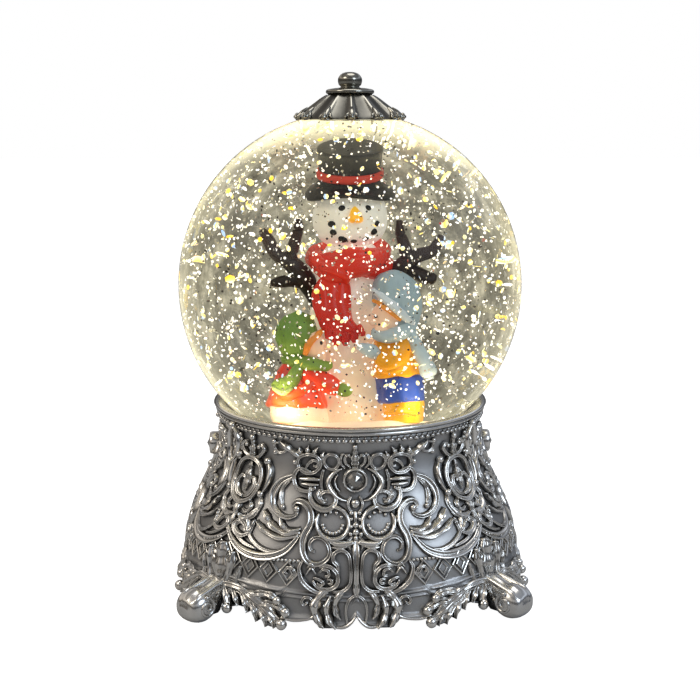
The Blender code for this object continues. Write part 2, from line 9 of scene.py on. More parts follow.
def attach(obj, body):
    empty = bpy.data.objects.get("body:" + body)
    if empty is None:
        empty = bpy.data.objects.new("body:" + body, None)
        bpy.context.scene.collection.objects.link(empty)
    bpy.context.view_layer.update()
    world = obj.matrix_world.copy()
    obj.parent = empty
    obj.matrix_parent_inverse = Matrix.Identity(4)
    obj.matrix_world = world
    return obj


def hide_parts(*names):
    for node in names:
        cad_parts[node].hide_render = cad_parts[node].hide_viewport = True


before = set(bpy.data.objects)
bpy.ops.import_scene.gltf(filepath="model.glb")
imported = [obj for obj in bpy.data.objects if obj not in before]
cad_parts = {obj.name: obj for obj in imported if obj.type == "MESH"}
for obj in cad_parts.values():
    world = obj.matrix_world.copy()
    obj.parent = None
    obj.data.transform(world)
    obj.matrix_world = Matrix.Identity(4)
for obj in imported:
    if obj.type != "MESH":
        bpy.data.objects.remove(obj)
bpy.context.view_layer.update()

scene = bpy.context.scene


# ---------------------------------------------------------------- the studio
# A pale floor, a pale surround and soft lamps. The camera stands a little above
# the crown of the globe and looks down on it, as at an object on a table.

GLOBE_CENTRE = Vector((0, 0, 0.086))
CAMERA_AWAY = 0.3641
CAMERA_HIGH = 0.1337
LOOK_DOWN = math.radians(10.44)
LOOK_TURN = math.radians(2.0)


def feed(tree, made, inputs):
    """Gives each input a value or a link; a node stands for its first live output."""
    for key, value in inputs.items():
        if isinstance(value, bpy.types.Node):
            value = next(socket for socket in value.outputs if socket.enabled)
        if isinstance(value, bpy.types.NodeSocket):
            tree.links.new(value, made.inputs[key])
        else:
            made.inputs[key].default_value = value
    return made


def node(tree, kind, inputs=None, **settings):
    """Adds a node with its settings and its inputs."""
    made = tree.nodes.new(kind)
    for name, value in settings.items():
        setattr(made, name, value)
    return feed(tree, made, inputs or {})


def span(tree, value, low, high, new_low=0.0, new_high=1.0):
    """Maps low..high to new_low..new_high, held at the ends."""
    return node(tree, "ShaderNodeMapRange", {0: value, 1: low, 2: high, 3: new_low, 4: new_high})


def blend_of(tree, share, first, second):
    """A colour between two colours, each a link or three numbers."""
    colours = {key: (*value, 1) if isinstance(value, tuple) and len(value) == 3 else value
               for key, value in ((6, first), (7, second))}
    return node(tree, "ShaderNodeMix", {0: share, **colours}, data_type="RGBA")


def maths(tree, operation, first, second=0.0, **settings):
    return node(tree, "ShaderNodeMath", {0: first, 1: second}, operation=operation, **settings)


def cloud_of(tree, scale, detail=2.0, source="Object", **more):
    """Smooth noise in the object's own coordinates."""
    place = node(tree, "ShaderNodeTexCoord").outputs[source]
    return node(tree, "ShaderNodeTexNoise", {"Vector": place, "Scale": scale, "Detail": detail, **more})


def ramp_of(tree, value, stops):
    """A colour ramp with stops of (position, (r, g, b))."""
    made = node(tree, "ShaderNodeValToRGB", {0: value})
    elements = made.color_ramp.elements
    for element, (position, colour) in zip(elements, (stops[0], stops[-1])):
        element.position = position
        element.color = (*colour, 1)
    for position, colour in stops[1:-1]:
        elements.new(position).color = (*colour, 1)
    return made


def soft_lamp(name, place, aim, size, power, colour):
    """A round studio lamp, seen only as light and in reflections."""
    lamp = bpy.data.lights.new(name, "AREA")
    lamp.shape = "DISK"
    lamp.size = size
    lamp.energy = power
    lamp.color = colour
    holder = bpy.data.objects.new(name, lamp)
    holder.location = place
    holder.rotation_euler = (Vector(aim) - Vector(place)).to_track_quat("-Z", "Y").to_euler()
    holder.visible_camera = False
    holder.visible_transmission = False
    scene.collection.objects.link(holder)
    return holder


camera = bpy.data.objects.new("camera", bpy.data.cameras.new("camera"))
camera.data.lens = 64.18
camera.data.sensor_width = 36
camera.data.clip_start = 0.01
camera.location = (-CAMERA_AWAY * math.sin(LOOK_TURN), -CAMERA_AWAY * math.cos(LOOK_TURN), CAMERA_HIGH)
camera.rotation_euler = (math.pi / 2 - LOOK_DOWN, 0, -LOOK_TURN)
scene.collection.objects.link(camera)
scene.camera = camera
scene.view_settings.view_transform = "Standard"

key_lamp = soft_lamp("key_lamp", (-0.62, -0.34, 0.72), (0, 0, 0.05), 0.40, 2.3, (1.0, 0.93, 0.82))
cool_lamp = soft_lamp("cool_lamp", (0.46, -0.52, 0.46), (0, 0, 0.04), 0.36, 1.9, (0.74, 0.86, 1.0))
top_lamp = soft_lamp("top_lamp", (0.05, 0.10, 0.85), (0, 0, 0.05), 0.50, 2.2, (1.0, 0.98, 0.95))

world = bpy.data.worlds.new("studio")
world.use_nodes = True
scene.world = world
sky = world.node_tree
sky.nodes.clear()
rays = node(sky, "ShaderNodeLightPath").outputs
across, _, upward = node(sky, "ShaderNodeSeparateXYZ", {
    0: node(sky, "ShaderNodeTexCoord").outputs["Generated"]}).outputs
surround = ramp_of(sky, span(sky, upward, -1.0, 1.0), [(0.0, (0.10, 0.10, 0.11))] + [
    (stop, (level, level, level * 1.03)) for stop, level in (
        (0.47, 0.13), (0.55, 0.05), (0.63, 0.30), (0.72, 0.85), (0.82, 0.25))] + [(1.0, (0.60, 0.60, 0.62))])
sideways = span(sky, maths(sky, "ABSOLUTE", across), 0.0, 1.0, 0.65, 1.45)
side_tint = blend_of(sky, span(sky, across, -0.8, 0.8), (1.10, 1.00, 0.86), (0.90, 0.99, 1.12))
tinted = node(sky, "ShaderNodeVectorMath", {0: surround, 1: side_tint}, operation="MULTIPLY")
panels = node(sky, "ShaderNodeVectorMath", {0: tinted, "Scale": sideways}, operation="SCALE")
haze = ramp_of(sky, cloud_of(sky, 9.0, 5.0, "Generated", Roughness=0.7), [
    (0.30, (0.070, 0.064, 0.046)), (0.50, (0.215, 0.20, 0.145)), (0.74, (0.72, 0.66, 0.47))])
crowned = blend_of(sky, span(sky, upward, -0.60, -0.75), haze, (1.15, 1.06, 0.66))
through_glass = blend_of(sky, rays["Is Transmission Ray"], panels, crowned)
seen_plain = blend_of(sky, rays["Is Camera Ray"], through_glass, (1, 1, 1))
sky_light = node(sky, "ShaderNodeBackground", {0: seen_plain, 1: 1.0})
node(sky, "ShaderNodeOutputWorld", {0: sky_light})


def paint(name, colour=(0.8, 0.8, 0.8), roughness=0.5, metallic=0.0, **sockets):
    """A material with its Principled shader; sockets are further values by their names."""
    material = bpy.data.materials.new(name)
    material.use_nodes = True
    tree = material.node_tree
    shader = tree.nodes["Principled BSDF"]
    shader.inputs["Base Color"].default_value = (*colour, 1)
    shader.inputs["Roughness"].default_value = roughness
    shader.inputs["Metallic"].default_value = metallic
    for key, value in sockets.items():
        shader.inputs[key.replace("_", " ")].default_value = value
    return material, tree, shader


def solid_piece(name, points, faces, material, crest=None, smooth=True):
    """A finished mesh object at the origin, with its crest kept: the share of bright metal that the silver's
    painted shade gives each point, high on tops and low in hollows.
    """
    mesh = bpy.data.meshes.new(name)
    mesh.from_pydata([tuple(p) for p in points], [], faces)
    mesh.materials.append(material)
    if crest is not None:
        mesh.attributes.new("crest", "FLOAT", "POINT").data.foreach_set(
            "value", np.asarray(crest, np.float32))
    if smooth:
        mesh.shade_smooth()
    made = bpy.data.objects.new(name, mesh)
    scene.collection.objects.link(made)
    return made


def fit(made, body, slot, *replaced):
    """Fixes a finished piece to its body and hides the parts it stands in for; slot is not used."""
    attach(made, body)
    if replaced:
        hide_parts(*replaced)
    return made


def cover(tree, share, shader, other):
    """Shows another shader in place of the first where share is 1."""
    both = node(tree, "ShaderNodeMixShader", {0: share, 1: shader, 2: other})
    feed(tree, tree.nodes["Material Output"], {"Surface": both})


floor_paint, floor_tree, floor_shader = paint("studio_floor", (0.92, 0.92, 0.92), 0.6,
                                              Emission_Color=(1, 1, 1, 1))
floor_rays = node(floor_tree, "ShaderNodeLightPath").outputs
feed(floor_tree, floor_shader, {
    "Base Color": blend_of(floor_tree, cloud_of(floor_tree, 60.0), (0.42, 0.42, 0.42), (0.40, 0.40, 0.40)),
    "Emission Strength": floor_rays["Is Camera Ray"]})
cover(floor_tree, floor_rays["Is Transmission Ray"], floor_shader,
      node(floor_tree, "ShaderNodeBsdfTransparent"))
FLOOR_DROP = 0.0002
floor = solid_piece("floor", [(x, y, -FLOOR_DROP) for x, y in ((-4, -4), (4, -4), (4, 4), (-4, 4))],
                    [(0, 1, 2, 3)], floor_paint)


# ---------------------------------------------------------------- base casting
# A four-sided skirt of cast resin, plated with antique silver: a waisted wall with a
# ledge above its foot, an arched hem, and a plain satin ground between the ornament.

BODY_TOP = 0.050
WAIST_Z = 0.043
WAIST_R = 0.038
SKIRT_Z = 0.012
SKIRT_R = 0.0479
TOP_FLARE = 0.0013
FOOT_FLARE = 0.0016
CORNER_SWELL = 0.0060
BASE_WALL = 0.0020
AROUND = 540


def ease(t):
    t = np.clip(t, 0.0, 1.0)
    return t * t * (3 - 2 * t)


def wall(azimuth, z):
    """Radius of the casting; azimuth is in radians from the front, towards +X."""
    radius = WAIST_R + (SKIRT_R - WAIST_R) * ease((WAIST_Z - z) / (WAIST_Z - SKIRT_Z))
    radius = radius + TOP_FLARE * np.maximum(0, (z - WAIST_Z) / (BODY_TOP - WAIST_Z)) ** 2
    radius = radius + FOOT_FLARE * np.maximum(0, (SKIRT_Z - z) / SKIRT_Z)
    low = np.clip((BODY_TOP - 0.002 - z) / BODY_TOP, 0, 1)
    return radius + CORNER_SWELL * low * np.sin(2 * azimuth) ** 2


def around_corner(azimuth):
    """How far an azimuth is from the nearest panel middle, in degrees."""
    return np.abs((np.degrees(azimuth) + 45) % 90 - 45)


def ledge_height(azimuth):
    """The ledge sags at the middle of each panel and climbs to the corners."""
    return 0.0087 + 0.0036 * (around_corner(azimuth) / 45) ** 1.5


def hem_height(azimuth):
    """The lower edge: a notch at the middle, a low run, and a high arch beside each foot."""
    away = around_corner(azimuth)
    notch = 0.0030 * np.exp(-(away / 1.6) ** 2)
    low_run = 0.0022 * ease((away - 11) / 2) * (1 - ease((away - 21) / 3))
    arch = 0.0082 * ease((away - 25) / 11) * (1 - ease((away - 42) / 2.5))
    return 0.0004 + notch + low_run + arch


def shader_group(name, inputs, outputs):
    """A shader node group with named sockets, and the outputs of its input node."""
    tree = bpy.data.node_groups.new(name, "ShaderNodeTree")
    for socket_name, default in inputs.items():
        kind = "NodeSocketFloat" if isinstance(default, float) else "NodeSocketColor"
        tree.interface.new_socket(socket_name, in_out="INPUT", socket_type=kind).default_value = default
    for socket_name in outputs:
        kind = "NodeSocketColor" if socket_name == "Color" else "NodeSocketFloat"
        tree.interface.new_socket(socket_name, in_out="OUTPUT", socket_type=kind)
    return tree, node(tree, "NodeGroupInput").outputs


# Painted shade shared by the silver: the Metal colour where Crest is high, the Shade And Tarnish colour where
# it is low, with noise for random tarnish and rougher metal in the dark.
tarnish, given = shader_group("tarnish", {
    "Metal": (0.6, 0.6, 0.6, 1), "Dirt": (0.05, 0.05, 0.05, 1), "Crest": 1.0, "Roughness": 0.2,
    "Grain Size": 900.0}, ("Color", "Roughness", "Height"))
lit_and_worn = maths(tarnish, "ADD", given["Crest"], maths(
    tarnish, "MULTIPLY", maths(tarnish, "SUBTRACT", cloud_of(tarnish, 160.0, 4.0), 0.5), 0.55),
    use_clamp=True)
node(tarnish, "NodeGroupOutput", {
    0: blend_of(tarnish, lit_and_worn, given["Dirt"], given["Metal"]),
    1: maths(tarnish, "ADD", given["Roughness"], span(tarnish, lit_and_worn, 0.0, 1.0, 0.22, 0.0)),
    2: cloud_of(tarnish, given["Grain Size"], 3.0)})


def with_group(tree, group, values):
    """The group's node in a material, with its inputs set."""
    return node(tree, "ShaderNodeGroup", values, node_tree=group).outputs


def finish_with(tree, shader, group, bump, distance=0.0002):
    """Feeds a group's colours, roughness and height to a material's own shader."""
    bumps = node(tree, "ShaderNodeBump", {"Height": group["Height"], "Strength": bump, "Distance": distance})
    fed = {"Base Color": group["Color"], "Normal": bumps}
    if "Roughness" in group:
        fed["Roughness"] = group["Roughness"]
    feed(tree, shader, fed)


def silver(name, metal, shade_tarnish, roughness, grain, bump, attribute="crest"):
    """Antique silver plate with painted shade: bright metal where the crest is high and the dark colour where
    it is low, or near other parts when no attribute is given; noise adds random tarnish.
    """
    material, tree, shader = paint(name, metallic=1.0)
    if attribute:
        crest = node(tree, "ShaderNodeAttribute", attribute_name=attribute).outputs["Fac"]
    else:
        # Painted contact shade: ambient occlusion darkens the satin ground near the ornament and other parts.
        occlusion_shade = node(tree, "ShaderNodeAmbientOcclusion", {"Distance": 0.003}, samples=6).outputs["AO"]
        crest = span(tree, occlusion_shade, 0.35, 0.95)
    finish_with(tree, shader, with_group(tree, tarnish, {
        "Metal": (*metal, 1), "Dirt": (*shade_tarnish, 1), "Crest": crest, "Roughness": roughness,
        "Grain Size": grain}), bump)
    return material


# The satin ground gets its painted shade from occlusion; the bright relief gets it from its crest.
satin_silver = silver("satin_silver", (0.42, 0.415, 0.41), (0.09, 0.09, 0.09), 0.38, 2400.0, 0.25, None)
bright_silver = silver("bright_silver", (0.70, 0.68, 0.645), (0.07, 0.07, 0.068), 0.13, 1500.0, 0.06)


def outward_faces(made):
    """Turns every face of a closed mesh outwards."""
    form = bmesh.new()
    form.from_mesh(made.data)
    bmesh.ops.recalc_face_normals(form, faces=form.faces)
    form.to_mesh(made.data)
    form.free()


def faces_of(rows, around, looped=False):
    """Faces over rows of points, each row a closed ring; capped at both ends unless looped."""
    faces = [(i * around + k, i * around + (k + 1) % around,
              (i + 1) % rows * around + (k + 1) % around, (i + 1) % rows * around + k)
             for i in range(rows if looped else rows - 1) for k in range(around)]
    if not looped:
        faces += [tuple(range(around - 1, -1, -1)), tuple(range((rows - 1) * around, rows * around))]
    return faces


def casting_shell():
    """The wall as columns from the hem to the top, outside and inside, joined at both edges."""
    azimuth = np.linspace(0, 2 * math.pi, AROUND, endpoint=False)
    rows = np.concatenate([np.linspace(0, 0.27, 56), np.linspace(0.29, 1, 34)])
    hem = hem_height(azimuth)
    height = hem[:, None] + (BODY_TOP - hem[:, None]) * rows
    ledge = ledge_height(azimuth)[:, None]
    proud = 0.0009 * np.exp(-((height - ledge) / 0.00035) ** 2)
    proud = proud + 0.0006 * np.exp(-((height - ledge + 0.0012) / 0.0003) ** 2)
    below = 0.0003 * ease((ledge - height) / 0.0006)
    roll = 0.0008 * np.exp(-((height - hem[:, None] - 0.0005) / 0.0006) ** 2)
    outer = wall(azimuth[:, None], height) + proud + below + roll
    inner = wall(azimuth[:, None], height) - BASE_WALL + 0.0004
    ring = np.concatenate([
        np.stack([outer, height], -1), np.stack([inner, height], -1)[:, ::-1]], axis=1)
    points = np.stack([
        ring[..., 0] * np.sin(azimuth)[:, None], -ring[..., 0] * np.cos(azimuth)[:, None], ring[..., 1]], -1)
    return points.reshape(-1, 3), [face[::-1] for face in faces_of(AROUND, ring.shape[1], True)]


casting = solid_piece("base_casting", *casting_shell(), satin_silver)
fit(casting, "base", "base_silver", "base_shell")


# ---------------------------------------------------------------- panel ornament
# Scrolls, acanthus leaves, pearls and a trellis, cast in one with the wall and buffed
# bright. One half of a panel is drawn and mirrored, and all four panels are alike.

MM = 0.001
SINK = 0.4
ROLL = np.sqrt(1 - np.linspace(-1, 1, 9) ** 2)
GROOVED = ROLL * (1 - 0.55 * np.exp(-(np.linspace(-1, 1, 9) / 0.3) ** 2))
TWIN = np.array([0, 0.85, 1.0, 0.45, 0.30, 0.42, 0.75, 0.7, 0])


def on_wall(u, z, lift, middle):
    """Points of the casting's surface: u is the way round from the middle line, in metres."""
    turn = u / wall(middle + 0 * u, z)
    for _ in range(4):
        turn = u / wall(middle + turn, z)
    radius = wall(middle + turn, z) + lift
    return np.stack([radius * np.sin(middle + turn), -radius * np.cos(middle + turn), z], -1)


def through(rows, steps=7, closed=False):
    """Rows of numbers along a smooth run through the given rows."""
    rows = np.array(rows, float)
    if closed:
        ends = np.vstack([rows[-1], rows, rows[0], rows[1]])
    else:
        ends = np.vstack([2 * rows[0] - rows[1], rows, 2 * rows[-1] - rows[-2]])
    out = []
    for i in range(1, len(ends) - 2):
        a, b, c, d = ends[i - 1:i + 3]
        for t in np.linspace(0, 1, steps, endpoint=False):
            out.append(0.5 * (2 * b + (c - a) * t + (2 * a - 5 * b + 4 * c - d) * t ** 2
                              + (3 * b - a - 3 * c + d) * t ** 3))
    if not closed:
        out.append(rows[-1])
    return np.array(out)


def new_relief():
    return {"points": [], "faces": [], "crest": [], "count": 0, "pearls": []}


def add_ridge(relief, run, rise, shape, middle, closed=False, raised=None):
    """One raised ridge along run, rows of (u, z, width) in mm, closed underneath in the wall."""
    if closed:
        along = np.roll(run, -1, 0) - np.roll(run, 1, 0)
    else:
        along = np.gradient(run, axis=0)
    step = along[:, :2] / np.maximum(np.linalg.norm(along[:, :2], axis=1, keepdims=True), 1e-9)
    side = np.stack([-step[:, 1], step[:, 0]], 1)
    shape = np.atleast_2d(shape)
    across = np.linspace(-1, 1, shape.shape[1])
    half = run[:, 2:3] / 2
    u = run[:, 0:1] + side[:, 0:1] * across * half
    z = run[:, 1:2] + side[:, 1:2] * across * half
    full = np.clip(run[:, 2:3] / run[:, 2].max(), 0, 1) ** 0.7
    top = rise * full * shape
    if raised is not None:
        top = top + raised[:, None] * np.sqrt(1 - across ** 2)
    # The crest paints shade: dark where the ridge meets the wall, bright along its top.
    crest = np.clip(0.25 + 0.9 * np.broadcast_to(shape, top.shape), 0, 1)
    crest[:, 0] = crest[:, -1] = 0.0
    u = np.hstack([u[:, :1], u, u[:, -1:]])
    z = np.maximum(np.hstack([z[:, :1], z, z[:, -1:]]), 0.05)
    low = np.full((len(run), 1), -SINK)
    points = on_wall(u * MM, z * MM, np.hstack([low, top, low]) * MM, middle)
    around = points.shape[1]
    first = relief["count"]
    zero = np.zeros((len(run), 1))
    relief["points"].append(points.reshape(-1, 3))
    relief["crest"].append(np.hstack([zero, crest, zero]).reshape(-1))
    relief["faces"] += [tuple(first + k for k in face[::-1]) for face in faces_of(len(run), around, closed)]
    relief["count"] += len(run) * around


def both_sides(rows):
    """The rows as drawn and mirrored in the middle line."""
    rows = np.array(rows, float)
    mirrored = rows.copy()
    mirrored[:, 0] *= -1
    return rows, mirrored


def scroll(relief, rows, rise=1.3, shape=GROOVED, middle=0.0, closed=False, single=False):
    """A scroll stem through rows of (u, z, width)."""
    for side in both_sides(rows)[:1 if single else 2]:
        add_ridge(relief, through(side, closed=closed), rise, shape, middle, closed)


def leaf(relief, rows, rise=1.5, lobes=4, ribs=3, curl=0.0, middle=0.0, single=False):
    """An acanthus leaf: notched sides, ribs along it, and a tip that can curl off the wall."""
    for side in both_sides(rows)[:1 if single else 2]:
        run = through(side, 11)
        t = np.linspace(0, 1, len(run))
        run[:, 2] *= 1 - 0.32 * np.abs(np.cos(math.pi * lobes * t)) ** 2 * np.sin(math.pi * t) ** 0.5
        across = np.linspace(-1, 1, 8 * ribs + 5)
        ridge = 0.74 + 0.26 * np.cos(across * math.pi * ribs + 0.5 * np.abs(across))
        vein = 1 - 0.35 * np.exp(-(across / 0.16) ** 2)
        shape = np.sqrt(1 - across ** 2) * ridge * vein * np.ones((len(run), 1))
        add_ridge(relief, run, rise, shape, middle, raised=curl * t ** 3)


def pearl(relief, u, z, radius, lift=0.3, middle=0.0, single=False):
    for sign in (1,) if single or u == 0 else (1, -1):
        relief["pearls"].append((sign * u, z, radius, lift, middle))


def growing_tree(name, **inputs):
    """A Geometry Nodes tree with named inputs: a number with its default, or a kind of socket."""
    tree = bpy.data.node_groups.new(name, "GeometryNodeTree")
    kinds = {int: "Int", float: "Float"}
    for key, value in {**inputs, "Finish": "Material"}.items():
        kind = value if isinstance(value, str) else kinds[type(value)]
        socket = tree.interface.new_socket(
            key.replace("_", " "), in_out="INPUT", socket_type="NodeSocket" + kind)
        if not isinstance(value, str):
            socket.default_value = value
    tree.interface.new_socket("Geometry", in_out="OUTPUT", socket_type="NodeSocketGeometry")
    return tree, node(tree, "NodeGroupInput").outputs


def full_grown(tree, start, copies, crest=None, soft=False):
    """Ends a tree: the copies become plain meshes with their crest and their finish."""
    made = node(tree, "GeometryNodeRealizeInstances", {0: copies})
    if soft:
        made = node(tree, "GeometryNodeSetShadeSmooth", {"Geometry": made})
    if crest is not None:
        made = node(tree, "GeometryNodeStoreNamedAttribute", {
            "Geometry": made, "Name": "crest", "Value": crest}, data_type="FLOAT", domain="POINT")
    done = node(tree, "GeometryNodeSetMaterial", {"Geometry": made, "Material": start["Finish"]})
    node(tree, "NodeGroupOutput", {0: done})
    return tree


def pearl_tree():
    """Sets a small ball on every point of a mesh, sized by the point's own radius."""
    tree, start = growing_tree("pearl_rows", Geometry="Geometry", Segments=10, Rings=6)
    ball = node(tree, "GeometryNodeMeshUVSphere", {
        "Segments": start["Segments"], "Rings": start["Rings"], "Radius": 1.0})
    radius = node(tree, "GeometryNodeInputNamedAttribute", {"Name": "radius_of"}, data_type="FLOAT")
    set_on = node(tree, "GeometryNodeInstanceOnPoints", {
        "Points": start["Geometry"], "Instance": ball, "Scale": radius})
    return full_grown(tree, start, set_on, 1.0, True)


def grown(name, tree, values, start=None):
    """The plain mesh object that a Geometry Nodes tree makes from a start mesh."""
    source = bpy.data.objects.new(name + "_start", start or bpy.data.meshes.new(name + "_start"))
    scene.collection.objects.link(source)
    modifier = source.modifiers.new(name, "NODES")
    modifier.node_group = tree
    for item in tree.interface.items_tree:
        if item.item_type == "SOCKET" and item.in_out == "INPUT" and item.name in values:
            modifier[item.identifier] = values[item.name]
    made = bpy.data.meshes.new_from_object(source.evaluated_get(bpy.context.evaluated_depsgraph_get()))
    source.modifiers.remove(modifier)
    bpy.data.objects.remove(source)
    made.name = name
    piece = bpy.data.objects.new(name, made)
    scene.collection.objects.link(piece)
    return piece


PEARLS = pearl_tree()


def pearl_mesh(rows, quarter):
    """Points for the pearls of one panel, turned by a quarter, each with its radius."""
    mesh = bpy.data.meshes.new("pearl_points")
    places = [on_wall(np.array(u * MM), np.array(z * MM), np.array(lift * MM), middle)
              for u, z, radius, lift, middle in rows]
    turn = Matrix.Rotation(quarter * math.pi / 2, 3, "Z")
    mesh.from_pydata([turn @ Vector(p) for p in places], [], [])
    mesh.attributes.new("radius_of", "FLOAT", "POINT").data.foreach_set(
        "value", np.array([row[2] * MM for row in rows], np.float32))
    return mesh


def cast_round(relief, name, ends):
    """The ornament and its pearls as finished pieces; ends gives each one's quarter of the base."""
    points = np.vstack(relief["points"])
    crest = np.concatenate(relief["crest"])
    for end, quarter in ends.items():
        turn = np.array(Matrix.Rotation(quarter * math.pi / 2, 3, "Z"))
        made = solid_piece(f"{name}_{end}", points @ turn.T, relief["faces"], bright_silver, crest)
        fit(made, "base", "base_silver")
        pearls = grown(f"{name}_pearls_{end}", PEARLS, {
            "Segments": 10, "Rings": 7, "Finish": bright_silver}, pearl_mesh(relief["pearls"], quarter))
        fit(pearls, "base", "base_silver")


panel = new_relief()

# the crown over the jewel
leaf(panel, [(0, 41.4, 2.0), (0, 43.4, 3.4), (0, 45.2, 2.4), (0, 46.9, 0.6)], 1.7, 3, single=True)
pearl(panel, 0, 47.3, 0.75, 0.9)
scroll(panel, [(1.2, 41.6, 0.6), (2.5, 42.8, 0.9), (2.6, 44.4, 0.9), (1.6, 45.0, 0.7), (1.3, 44.0, 0.5)])
scroll(panel, [(2.6, 41.2, 0.6), (3.8, 42.8, 0.8), (3.6, 44.6, 0.8), (2.9, 45.4, 0.5)])
scroll(panel, [(4.2, 42.9, 1.0), (5.0, 44.7, 1.0), (7.0, 45.0, 1.0), (8.2, 43.4, 1.0), (7.4, 41.5, 1.0),
               (5.4, 41.1, 1.0)], 1.5, GROOVED, closed=True)
scroll(panel, [(9.0, 42.2, 1.1), (9.9, 44.2, 1.1), (12.2, 44.9, 1.2), (14.8, 43.9, 1.1), (15.3, 41.8, 1.1),
               (13.6, 40.0, 1.2), (10.9, 40.0, 1.1)], 2.0, GROOVED, closed=True)
scroll(panel, [(13.2, 40.9, 0.6), (12.4, 42.3, 1.0), (11.0, 43.3, 1.0), (9.8, 42.8, 0.9), (10.2, 41.6, 0.8),
               (11.2, 41.7, 0.6)], 1.7)
for root, tip in (((12.6, 44.6), (12.4, 47.3)), ((11.0, 44.6), (9.8, 47.0)), ((14.2, 44.2), (15.0, 46.6)),
                  ((8.6, 43.6), (8.2, 45.8))):
    bend = ((root[0] + tip[0]) / 2 + 0.3, (root[1] + tip[1]) / 2)
    leaf(panel, [(*root, 1.4), (*bend, 2.0), (*tip, 0.4)], 1.8, 1, 1, 0.4)
leaf(panel, [(14.6, 43.4, 1.4), (16.6, 44.8, 2.6), (18.6, 46.0, 2.8), (20.6, 47.6, 0.7)], 1.9, 2, 1, 0.6)
pearl(panel, 16.3, 42.3, 0.8, 0.8)
scroll(panel, [(19.2, 44.9, 0.7), (21.0, 44.5, 1.0), (22.3, 45.3, 1.0), (22.6, 46.8, 0.8), (21.4, 47.2, 0.6)])
pearl(panel, 22.4, 44.3, 0.75, 0.6)
pearl(panel, 22.9, 47.3, 0.7, 0.5)

# the frame of the jewel, with its knots
scroll(panel, [(3.4, 41.2, 0.7), (6.0, 39.7, 1.5), (7.1, 37.2, 1.9), (5.6, 34.7, 1.6), (3.8, 33.4, 1.1),
               (2.2, 32.9, 0.6)], 1.9, ROLL)
scroll(panel, [(4.6, 39.6, 0.5), (5.3, 38.0, 0.8), (4.9, 36.4, 0.8), (4.0, 35.2, 0.5)], 1.3, ROLL)
scroll(panel, [(8.4, 40.8, 0.8), (9.0, 38.0, 1.1), (8.7, 35.0, 0.8)], 1.6)
scroll(panel, [(12.0, 40.0, 0.9), (14.9, 40.8, 1.2), (16.5, 38.6, 1.4), (15.6, 35.8, 1.3), (12.8, 35.1, 1.1),
               (10.6, 36.0, 0.8)], 1.9)
scroll(panel, [(15.0, 38.2, 1.0), (12.2, 38.3, 1.4), (9.4, 38.2, 1.0)], 1.7, ROLL)
scroll(panel, [(14.6, 36.9, 0.8), (12.0, 36.8, 1.1), (9.8, 36.8, 0.8)], 1.3, ROLL)
scroll(panel, [(11.9, 36.2, 0.9), (12.1, 33.6, 1.4), (10.3, 31.3, 1.7), (7.4, 30.8, 1.7), (5.2, 32.4, 1.4),
               (5.6, 34.6, 1.2), (7.7, 35.2, 1.1), (9.3, 34.2, 1.0), (8.7, 32.9, 0.8), (7.6, 33.2, 0.6)], 1.9)
leaf(panel, [(9.4, 35.6, 0.8), (9.9, 34.0, 1.5), (8.8, 32.6, 1.2), (7.6, 32.4, 0.5)], 1.6, 2, 2)

# the great scrolls
scroll(panel, [(16.6, 38.8, 1.0), (20.2, 37.2, 1.8), (22.6, 34.2, 2.3), (22.9, 31.2, 1.9), (21.2, 29.1, 1.5),
               (18.5, 28.3, 1.2), (16.2, 29.0, 0.9), (15.6, 30.2, 0.7)], 1.9, TWIN)
leaf(panel, [(17.4, 38.0, 0.8), (19.6, 36.2, 1.6), (20.6, 33.6, 1.6), (20.2, 31.2, 0.8)], 1.6, 2, 2)
pearl(panel, 20.0, 30.7, 0.75, 0.7)
scroll(panel, [(15.6, 30.1, 0.6), (17.0, 31.0, 1.0), (16.0, 32.4, 1.4), (13.9, 32.3, 1.8), (12.2, 30.7, 2.1),
               (11.8, 28.6, 2.1), (12.3, 26.6, 2.1), (13.5, 24.7, 2.1), (14.2, 22.6, 2.1), (14.1, 20.2, 1.9),
               (13.0, 18.2, 1.6), (11.0, 17.3, 1.4), (8.7, 17.9, 1.3), (7.1, 19.6, 1.2), (7.2, 21.9, 1.2),
               (8.7, 23.7, 1.2), (10.8, 23.9, 1.1), (12.3, 22.6, 1.0), (12.1, 20.9, 0.8), (11.0, 20.4, 0.6)],
       1.9, TWIN)
pearl(panel, 15.8, 30.5, 0.95, 0.7)

# the acanthus spray and the garland
leaf(panel, [(14.9, 25.8, 1.0), (17.6, 25.2, 1.8), (19.8, 26.2, 2.0), (20.7, 28.4, 0.6)], 1.8, 2, 1, 0.8)
leaf(panel, [(15.2, 24.9, 1.1), (19.4, 24.4, 2.1), (22.8, 25.8, 2.6), (24.4, 27.6, 2.4), (25.4, 29.6, 0.8)],
     2.0, 3, 1, 1.2)
leaf(panel, [(15.6, 24.0, 1.1), (20.6, 23.2, 1.9), (24.6, 24.2, 2.2), (26.4, 25.2, 1.8), (27.9, 26.6, 0.6)],
     1.7, 2, 1, 0.8)
scroll(panel, [(14.9, 24.8, 0.9), (17.0, 22.3, 1.5), (19.6, 20.1, 2.0), (23.4, 18.7, 2.4), (27.6, 18.3, 2.5),
               (32.0, 18.9, 2.4), (35.8, 20.6, 2.0), (38.2, 23.2, 1.5), (39.4, 26.4, 1.0)], 1.6, TWIN)
scroll(panel, [(21.0, 20.0, 0.7), (24.0, 19.8, 1.1), (27.2, 20.6, 1.2), (29.8, 22.4, 1.2), (31.0, 24.6, 0.9)],
       1.3)
scroll(panel, [(28.2, 20.0, 0.6), (32.2, 21.0, 1.1), (35.2, 23.0, 1.1), (36.8, 25.6, 0.8)], 1.3)
for tip_u, tip_z, width in ((31.2, 28.0, 1.9), (28.6, 26.8, 1.5), (33.8, 26.4, 1.4)):
    leaf(panel, [(31.0, 22.8, 0.9), ((31.0 + tip_u) / 2 - 0.2, 25.0, width), (tip_u, tip_z, 0.4)],
         1.7, 2, 2, 0.5)

